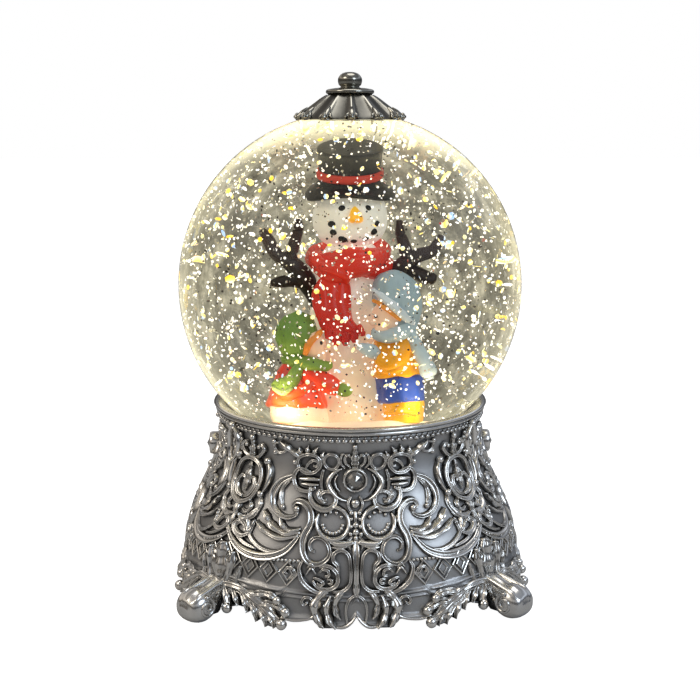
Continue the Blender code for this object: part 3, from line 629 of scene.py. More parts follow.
# the rings of pearls and the middle column
ring = [(6.1 + 4.3 * math.cos(math.radians(a)), 27.5 + 4.0 * math.sin(math.radians(a)), 1.35)
        for a in range(80, 396, 21)]
ring[0] = (*ring[0][:2], 0.6)
ring[-1] = (*ring[-1][:2], 0.6)
scroll(panel, ring, 1.5, ROLL)
for a in list(range(45, 150, 34)) + list(range(195, 350, 19)):
    pearl(panel, 6.1 + 2.75 * math.cos(math.radians(a)), 27.5 + 2.55 * math.sin(math.radians(a)), 0.52, 0.5)
pearl(panel, 0, 32.3, 1.25, 0.8)
scroll(panel, [(1.1, 34.0, 0.6), (1.9, 32.4, 0.9), (1.5, 30.8, 0.7), (0.7, 30.2, 0.5)], 1.4)
scroll(panel, [(0, 30.4, 1.1), (0, 29.0, 1.3), (0, 27.6, 0.9)], 1.4, ROLL, single=True)
for u, z, radius in ((1.05, 29.9, 0.6), (1.15, 28.4, 0.5), (0, 27.0, 0.85), (1.25, 26.6, 0.6),
                     (0, 25.3, 0.95),
                     (1.4, 24.8, 0.6), (2.1, 26.0, 0.45), (0, 23.8, 0.7)):
    pearl(panel, u, z, radius, 0.7)
scroll(panel, [(7.6, 24.1, 0.9), (5.8, 22.6, 1.5), (3.0, 22.5, 1.8), (0.6, 22.9, 1.5)], 1.6, ROLL)
scroll(panel, [(6.2, 21.6, 0.7), (4.4, 21.5, 1.0), (2.2, 21.9, 0.8)], 1.3, ROLL)
leaf(panel, [(1.0, 24.2, 0.8), (1.9, 22.6, 1.4), (1.4, 20.9, 0.5)], 1.9, 1, 2)

# the middle stem, its loops and the lower cartouche
scroll(panel, [(0, 23.4, 1.2), (0, 21.0, 2.3), (0, 17.0, 1.9), (0, 13.2, 1.8), (0, 10.8, 2.4), (0, 9.2, 1.4)],
       1.6, single=True)
scroll(panel, [(4.8, 15.2, 0.8), (4.9, 17.0, 1.1), (6.0, 18.4, 1.3), (5.7, 20.2, 1.3), (3.7, 21.0, 1.2),
               (2.0, 19.8, 1.1), (1.5, 17.2, 1.1), (1.4, 14.2, 1.1), (1.9, 11.9, 1.2), (3.6, 10.4, 1.2),
               (6.2, 10.1, 0.8)], 1.8)
scroll(panel, [(14.3, 18.2, 0.8), (15.2, 16.2, 1.2), (14.5, 13.4, 1.6), (12.4, 11.1, 1.5), (9.8, 9.9, 1.2),
               (7.4, 10.0, 0.8)], 1.9)
scroll(panel, [(11.5, 13.0, 0.6), (10.6, 11.6, 1.0), (8.6, 10.9, 1.3), (6.2, 11.2, 1.5), (4.9, 12.8, 1.5),
               (5.0, 15.0, 1.4), (6.5, 16.7, 1.3), (8.4, 17.1, 1.1), (9.8, 16.6, 0.7)], 1.9)
scroll(panel, [(9.7, 15.2, 0.6), (8.8, 16.1, 0.9), (7.4, 15.8, 1.1), (7.2, 14.5, 1.0), (8.3, 14.3, 0.7)], 1.6)
scroll(panel, [(11.4, 13.9, 0.6), (9.9, 13.5, 1.0), (8.7, 12.6, 1.1), (9.4, 11.9, 0.9), (10.4, 12.4, 0.6)],
       1.6)
scroll(panel, [(7.7, 13.5, 0.6), (6.5, 13.3, 0.9), (6.6, 12.3, 0.9), (7.5, 12.3, 0.6)], 1.4)
scroll(panel, [(10.6, 14.8, 0.6), (11.9, 16.4, 0.9), (13.4, 14.6, 0.6)], 1.3, ROLL)
scroll(panel, [(10.9, 16.2, 0.5), (11.9, 17.6, 0.8), (13.2, 16.2, 0.5)], 1.2, ROLL)
scroll(panel, [(18.2, 13.2, 0.6), (16.6, 14.2, 0.9), (16.8, 15.8, 1.0), (18.4, 16.2, 1.0), (19.3, 15.2, 0.8),
               (18.6, 14.6, 0.6)], 1.3)
for step in range(9):
    pearl(panel, 15.6 + 1.15 * step, 17.9, 0.5, 0.35)

# the foot of the panel: a leaf on each side of a keyhole, and the leaf of the side foot
leaf(panel, [(2.4, 11.2, 1.2), (4.4, 9.4, 2.8), (5.6, 6.8, 3.2), (5.2, 4.4, 2.2), (4.2, 3.0, 0.7)], 2.0, 2,
     1, 1.2)
scroll(panel, [(2.4, 1.4, 0.7), (2.8, 5.0, 0.9), (2.2, 7.5, 1.0), (0.9, 8.8, 0.9), (0, 9.0, 0.9)], 1.3)
leaf(panel, [(6.8, 11.2, 1.4), (9.4, 9.2, 3.6), (11.0, 6.4, 4.2), (10.4, 3.4, 3.4), (8.6, 0.9, 1.2)], 2.2, 3,
     1, 1.6)
leaf(panel, [(6.8, 9.0, 1.2), (7.8, 6.0, 3.0), (7.2, 3.0, 3.0), (5.4, 0.8, 1.1)], 2.5, 2, 1, 1.8)
leaf(panel, [(9.6, 7.6, 0.9), (11.4, 6.4, 1.7), (12.2, 4.8, 0.6)], 1.9, 1, 2, 0.6)
scroll(panel, [(0.3, 3.4, 0.9), (1.4, 2.0, 1.2), (3.0, 0.9, 1.4), (4.8, 0.7, 1.2), (6.4, 1.2, 0.9)], 1.6,
       ROLL)
scroll(panel, [(10.4, 4.6, 0.8), (12.0, 3.2, 1.1), (14.6, 2.6, 1.2), (17.6, 2.5, 1.2), (20.4, 3.2, 1.0)],
       1.2, ROLL)
scroll(panel, [(11.2, 6.6, 0.6), (12.0, 8.3, 0.9), (13.5, 8.7, 1.0), (14.5, 7.6, 1.0), (13.9, 6.6, 0.9),
               (13.1, 7.2, 0.6)], 1.5)
leaf(panel, [(38.0, 8.9, 1.4), (33.4, 8.9, 2.8), (28.8, 7.0, 5.4), (24.6, 4.4, 6.2), (21.4, 2.4, 3.2),
             (19.8, 1.4, 1.2)], 2.4, 4, 3, 0.8)
leaf(panel, [(29.6, 8.0, 1.2), (26.4, 8.9, 2.4), (23.4, 8.8, 2.4), (21.2, 7.8, 1.4)], 2.6, 2, 2, 0.4)
pearl(panel, 21.2, 7.7, 1.2, 1.6)
leaf(panel, [(27.0, 5.8, 1.4), (23.8, 6.4, 2.8), (20.8, 5.8, 2.4), (19.0, 4.9, 1.6)], 2.8, 2, 2, 0.4)
pearl(panel, 18.8, 4.8, 1.35, 1.8)
pearl(panel, 19.9, 1.6, 1.55, 1.8)
for root_u, root_z, tip_u, tip_z, width in ((32.6, 8.0, 30.2, 3.6, 2.2), (29.8, 6.4, 27.4, 1.6, 2.4),
                                            (26.8, 4.8, 24.6, 0.5, 2.6), (24.4, 3.6, 22.2, 0.3, 2.2)):
    leaf(panel, [(root_u, root_z, 1.2), ((root_u + tip_u) / 2 - 0.5, (root_z + tip_z) / 2 + 0.3, width),
                 (tip_u, tip_z, 0.7)], 2.7, 1, 2, 1.0)
scroll(panel, [(43.0, 7.6, 1.6), (40.0, 9.2, 1.8), (36.4, 9.9, 1.9), (33.0, 9.6, 1.8), (30.4, 8.6, 1.2)], 2.0)
leaf(panel, [(38.6, 8.8, 1.6), (37.4, 6.6, 2.6), (36.6, 4.2, 2.2)], 2.6, 1, 2, 0.6)
pearl(panel, 36.8, 3.8, 1.5, 1.4)
leaf(panel, [(35.6, 8.6, 1.2), (34.2, 6.6, 1.9), (33.4, 4.8, 0.8)], 2.4, 1, 2, 0.6)

PANELS = {"front": 0, "right": 1, "back": 2, "left": 3}
cast_round(panel, "panel_relief", PANELS)


# ---------------------------------------------------------------- trellis band
# Between the garland and the ledge runs a band of lozenges, each with a smaller one
# inside it, standing a little proud of the satin wall. It is cast with the wall.

def lozenge_mesh():
    """Two lozenge frames, one in the other, drawn upright with the wall behind them."""
    points = []
    faces = []
    for half_u, half_z, bar, rise in ((2.75, 3.2, 0.34, 0.55), (1.35, 1.75, 0.30, 0.5)):
        first = len(points)
        for corner_u, corner_z in ((1, 0), (0, 1), (-1, 0), (0, -1)):
            for share, lift in ((-1, -0.3), (-0.5, rise * 0.85), (0, rise), (0.5, rise * 0.85), (1, -0.3)):
                grow = 1.5 * bar * share
                points.append(((half_u + grow) * corner_u * MM, -lift * MM, (half_z + grow) * corner_z * MM))
        faces += [tuple(first + k for k in face) for face in faces_of(4, 5, True)]
    return points, faces


def copies_tree():
    """Puts the instance object on every point, turned by the point's own turn_of."""
    tree, start = growing_tree("copies_on_wall", Geometry="Geometry", Copy="Object")
    copy = node(tree, "GeometryNodeObjectInfo", {"Object": start["Copy"]})
    turn = node(tree, "GeometryNodeInputNamedAttribute", {"Name": "turn_of"}, data_type="FLOAT_VECTOR")
    set_on = node(tree, "GeometryNodeInstanceOnPoints", {
        "Points": start["Geometry"], "Instance": copy.outputs["Geometry"], "Rotation": turn})
    return full_grown(tree, start, set_on, 0.8)


lozenge = solid_piece("lozenge", *lozenge_mesh(), bright_silver, smooth=False)
outward_faces(lozenge)
places = []
turns_of = []
for quarter in range(4):
    for side in (-1, 1):
        for step in range(5):
            u = side * (18.6 + 5.75 * step)
            z = 14.5 + 0.42 * step + 0.05 * step ** 2
            middle = quarter * math.pi / 2
            spot = on_wall(np.array(u * MM), np.array(z * MM), np.array(0.0), middle)
            places.append(tuple(spot))
            azimuth = math.atan2(spot[0], -spot[1])
            lean = (wall(azimuth, (z - 3) * MM) - wall(azimuth, (z + 3) * MM)) / (6 * MM)
            turns_of.append((-math.atan(lean), 0, azimuth))
spots = bpy.data.meshes.new("lozenge_spots")
spots.from_pydata(places, [], [])
spots.attributes.new("turn_of", "FLOAT_VECTOR", "POINT").data.foreach_set(
    "vector", np.array(turns_of, np.float32).ravel())
trellis = grown("trellis_band", copies_tree(), {"Copy": lozenge, "Finish": bright_silver}, spots)
bpy.data.objects.remove(lozenge)
fit(trellis, "base", "base_silver")


# ---------------------------------------------------------------- corner ornament
# Each corner has a pierced-looking loop of rocaille between two bars, a leaf below it
# and a tall fluted acanthus that runs down to the foot. It is cast with the wall.

corner = new_relief()
QUARTER = math.pi / 4
scroll(corner, [(-4.9, 36.0, 1.3), (-3.6, 40.2, 1.3), (0, 41.8, 1.4), (3.6, 40.2, 1.3), (4.9, 36.0, 1.3),
                (3.6, 32.0, 1.3), (0, 30.4, 1.4), (-3.6, 32.0, 1.3)], 2.2, GROOVED, QUARTER, True, True)
scroll(corner, [(0.2, 31.6, 0.7), (2.2, 32.4, 1.2), (3.3, 34.6, 1.3), (2.4, 36.6, 1.2), (1.0, 36.2, 0.9),
                (1.3, 35.0, 0.6)], 1.8, middle=QUARTER)
leaf(corner, [(0, 33.0, 1.0), (0, 36.0, 2.6), (0, 38.6, 2.2), (0, 40.8, 0.6)], 2.0, 3, 3, 0.4, QUARTER, True)
leaf(corner, [(0, 41.6, 1.2), (0, 43.6, 3.0), (0, 45.4, 2.0), (0, 47.2, 0.5)], 2.0, 3, 3, 0.4, QUARTER, True)
scroll(corner, [(1.0, 41.8, 0.8), (3.0, 42.8, 1.2), (4.2, 44.6, 1.2), (3.0, 45.8, 1.0), (2.2, 44.8, 0.6)],
       1.7, middle=QUARTER)
pearl(corner, 0, 47.4, 0.9, 0.9, QUARTER)
scroll(corner, [(5.8, 41.4, 0.8), (7.0, 39.6, 1.4), (7.3, 37.2, 1.7), (7.0, 34.8, 1.4), (6.2, 33.2, 0.8)],
       2.1, ROLL, QUARTER)
for u, z, radius in ((5.7, 41.6, 1.05), (6.1, 33.0, 1.05), (4.3, 35.0, 0.8), (2.4, 45.0, 0.6)):
    pearl(corner, u, z, radius, 1.0, QUARTER)
leaf(corner, [(5.8, 32.6, 0.9), (7.0, 30.4, 1.9), (6.0, 28.0, 2.4), (3.4, 26.6, 2.0), (1.0, 27.2, 0.7)],
     2.1, 3, 2, 0.5, QUARTER)
leaf(corner, [(3.0, 31.2, 0.9), (4.4, 29.6, 1.6), (3.4, 28.2, 1.2), (1.6, 28.8, 0.5)], 1.8, 2, 2, 0.3,
     QUARTER)
leaf(corner, [(0, 31.0, 1.0), (0, 28.6, 2.4), (0, 26.2, 1.8), (0, 24.4, 0.6)], 2.2, 2, 3, 0.4, QUARTER, True)
scroll(corner, [(7.4, 23.6, 0.8), (5.0, 22.6, 1.3), (2.6, 23.2, 1.4), (1.2, 24.8, 1.2), (2.2, 26.0, 1.0),
                (3.2, 25.2, 0.6)], 1.9, middle=QUARTER)
for step in range(6):
    pearl(corner, 2.2 + 1.1 * step, 20.8 - 0.35 * step, 0.5, 0.5, QUARTER)
leaf(corner, [(0, 7.0, 6.4), (0, 10.0, 5.4), (0, 14.0, 6.2), (0, 17.6, 5.4), (0, 20.2, 2.6)],
     2.2, 3, 2, 1.6, QUARTER, True)
leaf(corner, [(2.8, 7.0, 2.6), (3.4, 11.0, 2.8), (4.2, 15.0, 3.0), (4.4, 18.4, 1.2)], 2.0, 2, 2, 1.2, QUARTER)
leaf(corner, [(4.8, 7.4, 1.6), (6.2, 10.0, 2.2), (7.0, 13.0, 1.8), (7.4, 15.0, 0.7)], 1.7, 2, 2, 0.6, QUARTER)
cast_round(corner, "corner_relief", {"1": 0, "2": 1, "3": 2, "4": 3})

column = new_relief()
for start in (-1, 1):
    centre = 22.4 * start
    scroll(column, [(centre, 49.4, 0.9), (centre + 2.0, 46.8, 1.2), (centre + 2.4, 43.2, 1.3),
                    (centre + 1.4, 40.2, 1.1),
                    (centre, 39.0, 1.0), (centre - 1.4, 40.2, 1.1), (centre - 2.4, 43.2, 1.3),
                    (centre - 2.0, 46.8, 1.2)], 2.4, ROLL, closed=True, single=True)
    leaf(column, [(centre, 40.0, 1.0), (centre, 43.0, 2.6), (centre, 46.0, 2.0), (centre, 48.6, 0.6)],
         2.6, 3, 2, 0.5, single=True)
    pearl(column, centre, 49.3, 1.2, 1.2, single=True)
    for step in range(6):
        for side in (-1, 1):
            pearl(column, centre + side * (3.3 - 0.22 * abs(step - 2.2)), 40.6 + 1.35 * step, 0.5, 0.8,
                  single=True)
cast_round(column, "side_columns", {"right": 1, "left": 3})


# ---------------------------------------------------------------- scroll feet
# Four rolled toes under the corners carry the base. Each is a thick scroll with two
# channels over its top and a coiled end on both sides, cast with the corner.

UP = np.array((0, 0, 1))


def toe_axes(azimuth):
    """Outwards and across at an azimuth, as two flat directions."""
    return (np.array((math.sin(azimuth), -math.cos(azimuth), 0)),
            np.array((math.cos(azimuth), math.sin(azimuth), 0)))


def foot_mesh(azimuth):
    """A toe swept outwards and down: rows of (reach, height, thickness, half width) in mm."""
    run = through([(45.5, 9.6, 1.4, 2.4), (50.0, 9.4, 1.7, 2.6), (54.0, 8.2, 2.5, 3.1), (57.4, 6.0, 3.8, 4.3),
                   (60.4, 4.9, 4.6, 5.0), (63.0, 4.6, 4.1, 4.8), (64.9, 4.5, 2.8, 3.7),
                   (65.7, 4.5, 0.8, 1.8)], 7)
    turns = np.linspace(0, 2 * math.pi, 32, endpoint=False)
    along = np.gradient(run[:, :2], axis=0)
    along /= np.linalg.norm(along, axis=1, keepdims=True)
    over = np.stack([-along[:, 1], along[:, 0]], 1)
    side = np.sign(np.cos(turns)) * np.abs(np.cos(turns)) ** 0.8
    up = np.sign(np.sin(turns)) * np.abs(np.sin(turns)) ** 0.8
    channel = 1 - 0.10 * np.exp(-((np.abs(side) - 0.45) / 0.12) ** 2) * (up > 0)
    reach = run[:, 0:1] + over[:, 0:1] * run[:, 2:3] * up * channel
    height = np.maximum(run[:, 1:2] + over[:, 1:2] * run[:, 2:3] * up * channel, 0.0)
    width = run[:, 3:4] * side * 0.98
    out, across = toe_axes(azimuth)
    points = (reach[..., None] * out + width[..., None] * across + height[..., None] * UP) * MM
    return points.reshape(-1, 3), faces_of(len(run), len(turns))


def coil(azimuth, side):
    """The coiled end of a toe, a rounded strip wound one and a half times."""
    out, across = toe_axes(azimuth)
    points = []
    for turn in np.linspace(0.2, 3.2 * math.pi, 44):
        radius = 2.9 - 0.22 * turn
        thick = 0.6 - 0.035 * turn
        for ring_turn in np.arange(8) * math.pi / 4:
            r = radius + thick * math.cos(ring_turn)
            lift = 4.5 + 0.5 * math.sin(ring_turn) + 0.03 * turn
            points.append(((61.0 + r * math.cos(turn + 1.2)) * out + side * lift * across
                           + max(5.0 + r * math.sin(turn + 1.2), 0.0) * UP) * MM)
    return points, faces_of(44, 8)


def toe_ridge(azimuth, offset, thick):
    """A rolled line over the top of a toe, from the leaf above it down round the tip."""
    out, across = toe_axes(azimuth)
    run = through([(47.0, 10.6, 0.5), (51.0, 10.4, 0.8), (55.0, 9.7, 0.9), (59.0, 8.7, 0.9), (62.4, 7.8, 0.9),
                   (64.4, 5.9, 0.8), (64.7, 3.6, 0.7), (63.0, 1.4, 0.5)], 5)
    points = []
    for reach, rise, size in run:
        spread = offset * (0.75 + 0.25 * (reach - 48) / 17)
        for turn in np.arange(8) * math.pi / 4:
            roll = thick * size * math.sin(turn)
            points.append(((reach + roll * 0.4) * out + (spread + thick * size * math.cos(turn)) * across
                           + (rise + roll) * UP) * MM)
    return points, faces_of(len(run), 8)


foot_silver = silver("foot_silver", (0.62, 0.61, 0.59), (0.10, 0.10, 0.10), 0.20, 1500.0, 0.10)
for number in range(4):
    azimuth = QUARTER + number * math.pi / 2
    toe_points, toe_faces = foot_mesh(azimuth)
    toe_points = list(toe_points)
    more_parts = [coil(azimuth, -1), coil(azimuth, 1)]
    more_parts += [toe_ridge(azimuth, -2.9, 0.9), toe_ridge(azimuth, 2.9, 0.9)]
    for more_points, more_faces in more_parts:
        start = len(toe_points)
        toe_points += more_points
        toe_faces += [tuple(start + k for k in face) for face in more_faces]
    toe = solid_piece(f"scroll_foot_{number + 1}", toe_points, toe_faces, foot_silver,
                      np.full(len(toe_points), 0.9))
    outward_faces(toe)
    fit(toe, "base", "base_silver")


# ---------------------------------------------------------------- jewels
# A dark faceted glass stone, set in a turned bezel at the middle of each panel and
# glued in its seat.

JEWEL_Z = 0.0387
SEAT_OUT = 0.0395


def turned_points(profile, steps, place, axis_turn):
    """A closed turned shape; profile rows are (radius, height) and both ends may lie on the axis."""
    points = []
    for r, h in profile:
        for k in range(steps):
            a = 2 * math.pi * k / steps
            points.append(place + axis_turn @ Vector((r * math.cos(a), r * math.sin(a), h)))
    return points, faces_of(len(profile), steps)


stone_paint, stone_tree, stone_shader = paint(
    "smoke_stone", (0.10, 0.095, 0.09), 0.03, 0.85, Specular_IOR_Level=0.8, Coat_Weight=1.0,
    Coat_Roughness=0.02)
feed(stone_tree, stone_shader, {"Base Color": blend_of(
    stone_tree, cloud_of(stone_tree, 500.0), (0.16, 0.15, 0.14), (0.34, 0.33, 0.31))})

for end, quarter in PANELS.items():
    azimuth = quarter * math.pi / 2
    out = Vector((math.sin(azimuth), -math.cos(azimuth), 0))
    face_out = out.to_track_quat("Z", "Y").to_matrix()
    seat = out * SEAT_OUT + Vector((0, 0, JEWEL_Z))
    bezel_profile = [(0.0012, -0.001), (0.0031, -0.001), (0.0034, 0.0), (0.0034, 0.0016), (0.00325, 0.0022),
                     (0.0030, 0.00245), (0.00275, 0.0022), (0.0026, 0.0014), (0.0012, 0.0004)]
    # The bezel's crest paints shade: dark at its seat and inner edge, bright on its rim.
    bezel = solid_piece(f"jewel_bezel_{end}", *turned_points(bezel_profile, 48, seat, face_out),
                        bright_silver,
                        np.repeat([0, 0.2, 0.6, 1, 1, 1, 0.9, 0.2, 0.0], 48))
    fit(bezel, "base", "base_silver")
    stone_profile = [(0.0004, 0.0003), (0.0025, 0.0012), (0.0026, 0.0017), (0.0015, 0.0026), (0.0001, 0.0033)]
    stone = solid_piece(f"jewel_{end}_stone", *turned_points(stone_profile, 9, seat, face_out),
                        stone_paint, smooth=False)
    fit(stone, "base", "jewel", f"jewel_{end}")


# ---------------------------------------------------------------- rim of the base
# A rolled ring of plated metal pressed over the top of the casting, where it holds the
# neck of the globe, with a strip of tiny scallops below it.

dark_chrome = silver("dark_chrome", (0.27, 0.26, 0.225), (0.03, 0.03, 0.028), 0.14, 1200.0, 0.05)


def turned_ring(name, profile, steps, material, crest=None):
    """A closed ring from a closed profile of (radius, height) rows."""
    points = [(r * math.cos(a), r * math.sin(a), z)
              for a in np.linspace(0, 2 * math.pi, steps, endpoint=False) for r, z in profile]
    made = solid_piece(name, points, faces_of(steps, len(profile), True), material,
                       None if crest is None else np.tile(crest, steps))
    outward_faces(made)
    return made


rim_profile = [(37.2, 50.2), (39.5, 50.2), (39.9, 50.5), (40.0, 50.9), (39.75, 51.15), (39.7, 51.35),
               (40.2, 51.6), (40.45, 52.0), (40.3, 52.4), (39.8, 52.65), (39.2, 52.7), (38.2, 52.4),
               (37.2, 52.1)]
# The rim's crest paints shade: dark under its roll and in its groove, bright on its rounded tops.
rim = turned_ring("rim_band", [(r * MM, z * MM) for r, z in rim_profile], 180, bright_silver,
                  [0, 0.2, 0.8, 1, 0.2, 0.1, 0.8, 1, 1, 1, 0.9, 0.5, 0.1])
fit(rim, "base", "base_silver", "rim_ring")


def scallop_tree():
    """A row of half-round scallops round a circle, with a bead at the end of each."""
    tree, start = growing_tree(
        "scallop_strip", Radius=0.039, Height=0.049, Scallops=134, Scallop_Radius=0.0009)
    circle = node(tree, "GeometryNodeCurvePrimitiveCircle", {
        "Resolution": start["Scallops"], "Radius": start["Radius"]})
    points = node(tree, "GeometryNodeResampleCurve", {"Curve": circle, "Count": start["Scallops"]},
                  mode="COUNT")
    facing = node(tree, "FunctionNodeAlignEulerToVector", {
        "Vector": node(tree, "GeometryNodeInputTangent")}, axis="X")
    scallop = node(tree, "GeometryNodeMeshUVSphere", {
        "Segments": 8, "Rings": 5, "Radius": start["Scallop Radius"]})
    flat = node(tree, "GeometryNodeTransform", {"Geometry": scallop, "Scale": (0.92, 0.50, 0.62)})
    bead = node(tree, "GeometryNodeMeshUVSphere", {
        "Segments": 7, "Rings": 4, "Radius": start["Scallop Radius"]})
    small = node(tree, "GeometryNodeTransform", {
        "Geometry": bead, "Translation": (0, -0.0002, 0.0009), "Scale": (0.36, 0.5, 0.36)})
    both = node(tree, "GeometryNodeJoinGeometry", {0: flat})
    feed(tree, both, {0: small})
    set_on = node(tree, "GeometryNodeInstanceOnPoints",
                  {"Points": points, "Instance": both, "Rotation": facing})
    raised = node(tree, "GeometryNodeTransform", {
        "Geometry": set_on, "Translation": node(tree, "ShaderNodeCombineXYZ", {2: start["Height"]})})
    return full_grown(tree, start, raised, 0.75, True)


strip = grown("scallop_strip", scallop_tree(), {
    "Radius": 0.0391, "Height": 0.0488, "Scallops": 134, "Scallop Radius": 0.00095, "Finish": bright_silver})
fit(strip, "base", "base_silver")


# ---------------------------------------------------------------- globe and liquid
# A clear acrylic ball, 2.5 mm thick, filled to its crown with water and glycerine. The
# liquid touches the wall all over, so the figure inside looks larger than it is.

GLOBE_R = 0.050
RIM_CUT = 0.0440


def clear(name, colour, ior):
    """A clear body that lets the lamps through, so that what is inside is lit."""
    material, tree, shader = paint(name, colour, 0.0, Transmission_Weight=1.0, IOR=ior)
    ghost = node(tree, "ShaderNodeBsdfTransparent", {0: (0.96, 0.96, 0.95, 1)})
    cover(tree, node(tree, "ShaderNodeLightPath").outputs["Is Shadow Ray"], shader, ghost)
    return material, tree, shader


def ball_rows(radius, low, steps):
    """Rows of (radius, height) down a ball from its crown to a cut."""
    end = math.acos((low - GLOBE_CENTRE.z) / radius)
    return [(radius * math.sin(t), GLOBE_CENTRE.z + radius * math.cos(t))
            for t in np.linspace(0.004, end, steps)]


def turned_solid(name, rows, steps, material):
    """A closed turned solid, its first and last rows closed by a cap."""
    points, faces = turned_points(rows, steps, Vector((0, 0, 0)), Matrix.Identity(3))
    made = solid_piece(name, points, faces, material)
    outward_faces(made)
    return made


acrylic, acrylic_tree, acrylic_shader = clear("clear_acrylic", (1.0, 1.0, 0.995), 1.36)
# Painted light: a warm, patchy glow painted along the rim of the ball, by how slanted its surface is to the
# view.
slant = node(acrylic_tree, "ShaderNodeLayerWeight", {"Blend": 0.5}).outputs["Facing"]
rim_glow = maths(acrylic_tree, "MULTIPLY", maths(acrylic_tree, "POWER", slant, 3.6),
                 span(acrylic_tree, slant, 0.84, 0.95, 1.0, 0.0))
patchy = span(acrylic_tree, cloud_of(acrylic_tree, 45.0), 0.35, 0.65, 0.45, 1.1)
glow_tint = blend_of(acrylic_tree, maths(acrylic_tree, "MULTIPLY", rim_glow, patchy), (0, 0, 0),
                     (1.0, 0.91, 0.58))
feed(acrylic_tree, acrylic_shader, {"Emission Color": glow_tint, "Emission Strength": 1.3})
wall_rows = ball_rows(GLOBE_R, RIM_CUT, 96)
globe = turned_solid("globe_ball", wall_rows, 192, acrylic)
fit(globe, "base", "clear_acrylic", "globe_shell")

# the studio lamps are not mirrored in the ball
unlit = bpy.data.collections.new("not_in_the_ball")
unlit.objects.link(globe)
for lamp in (key_lamp, cool_lamp, top_lamp):
    lamp.light_linking.receiver_collection = unlit
unlit.collection_objects[0].light_linking.link_state = "EXCLUDE"


# ---------------------------------------------------------------- glitter
# Hexagonal flakes of silvered film drift in the liquid. Some glow by themselves as painted glints, some are
# painted dark as shaded flakes, others are plain mirror film, and a few large ones are iridescent and glow as
# painted glints too.

def flake_tree():
    """Thin six-sided flakes, scattered at random in a ball and turned every way."""
    tree, start = growing_tree(
        "glitter", Count=1000, Seed=1, Ball_Radius=0.045, Inner_Radius=0.0, Flake_Radius=0.0004,
        Thickness=0.00006, Smallest=0.5, Floor=0.05, Centre="Vector")
    place = node(tree, "FunctionNodeRandomValue", {
        0: (-0.05, -0.05, -0.05), 1: (0.05, 0.05, 0.05), "Seed": start["Seed"]}, data_type="FLOAT_VECTOR")
    cloud = node(tree, "GeometryNodePoints", {"Count": start["Count"], "Position": place})
    spot = node(tree, "GeometryNodeInputPosition")
    away = node(tree, "ShaderNodeVectorMath", {0: spot}, operation="LENGTH").outputs["Value"]
    height = node(tree, "ShaderNodeSeparateXYZ", {0: spot}).outputs[2]
    unwanted = maths(tree, "MAXIMUM", maths(
        tree, "MAXIMUM", maths(tree, "GREATER_THAN", away, start["Ball Radius"]),
        maths(tree, "LESS_THAN", height, start["Floor"])),
        maths(tree, "LESS_THAN", away, start["Inner Radius"]))
    kept = node(tree, "GeometryNodeDeleteGeometry", {"Geometry": cloud, "Selection": unwanted},
                domain="POINT")
    moved = node(tree, "GeometryNodeTransform", {"Geometry": kept, "Translation": start["Centre"]})
    flake = node(tree, "GeometryNodeMeshCylinder", {
        "Vertices": 6, "Radius": start["Flake Radius"], "Depth": start["Thickness"]})
    turn = node(tree, "FunctionNodeRandomValue", {
        0: (0, 0, 0), 1: (6.283, 6.283, 6.283), "Seed": maths(tree, "ADD", start["Seed"], 7.0)},
        data_type="FLOAT_VECTOR")
    size = node(tree, "FunctionNodeRandomValue", {
        2: start["Smallest"], 3: 1.0, "Seed": start["Seed"]}, data_type="FLOAT")
    set_on = node(tree, "GeometryNodeInstanceOnPoints", {
        "Points": moved, "Instance": flake, "Rotation": turn, "Scale": size})
    return full_grown(tree, start, set_on)


flake_pick, given = shader_group("flake_pick", {"Scale": 400.0}, ("Pick",))
node(flake_pick, "NodeGroupOutput", {0: span(flake_pick, cloud_of(flake_pick, given["Scale"], 0.0), 0.3,
                                             0.7)})


def flake_paint(name, colours, roughness, glow, scale):
    """Silvered film whose colour changes from flake to flake; with glow it shines by itself, a painted glint.
    """
    material, tree, shader = paint(name, roughness=roughness, metallic=1.0, Emission_Strength=glow)
    ramp = ramp_of(tree, with_group(tree, flake_pick, {"Scale": scale})["Pick"], [
        (k / (len(colours) - 1), colour) for k, colour in enumerate(colours)])
    feed(tree, shader, {"Base Color": ramp})
    if glow:
        feed(tree, shader, {"Emission Color": ramp})
    return material


GLITTER = flake_tree()
# Painted glints: these flakes glow by themselves in their own colours.
glint_glow = flake_paint("flake_flash", [(1, 0.98, 0.90), (1, 0.94, 0.74), (0.97, 0.98, 1)], 0.3, 1.3, 400.0)
# Painted shade: near-black flakes standing for flakes that catch no light.
shade_side = flake_paint("flake_shade", [(0.05, 0.05, 0.05), (0.10, 0.09, 0.08)], 0.35, 0.0, 400.0)
mirror = flake_paint("flake_mirror", [(0.9, 0.9, 0.88), (0.95, 0.93, 0.86)], 0.22, 0.0, 400.0)
# Iridescent colour, glowing by itself as a painted glint.
rainbow = flake_paint("flake_rainbow", [(1, 0.60, 0.04), (1, 0.84, 0.24), (1, 0.97, 0.78), (1, 0.76, 0.10),
                                        (0.30, 0.52, 1), (1, 0.88, 0.36)], 0.2, 1.25, 260.0)
for name, finish, count, seed, ball, inner, flake, floor_at in (
        ("glitter_flash", glint_glow, 8500, 3, 0.0462, 0.010, 0.00038, -0.030),
        ("glitter_mirror", mirror, 4500, 11, 0.0462, 0.010, 0.00038, -0.030),
        ("glitter_shade", shade_side, 2600, 19, 0.0462, 0.012, 0.00034, -0.030),
        ("glitter_rainbow", rainbow, 2600, 29, 0.0470, 0.032, 0.00085, -0.022)):
    flakes = grown(name, GLITTER, {
        "Count": count, "Seed": seed, "Ball Radius": ball, "Inner Radius": inner, "Flake Radius": flake,
        "Thickness": 0.00006, "Smallest": 0.55, "Floor": floor_at, "Centre": tuple(GLOBE_CENTRE),
        "Finish": finish})
    fit(flakes, "base", "snow")


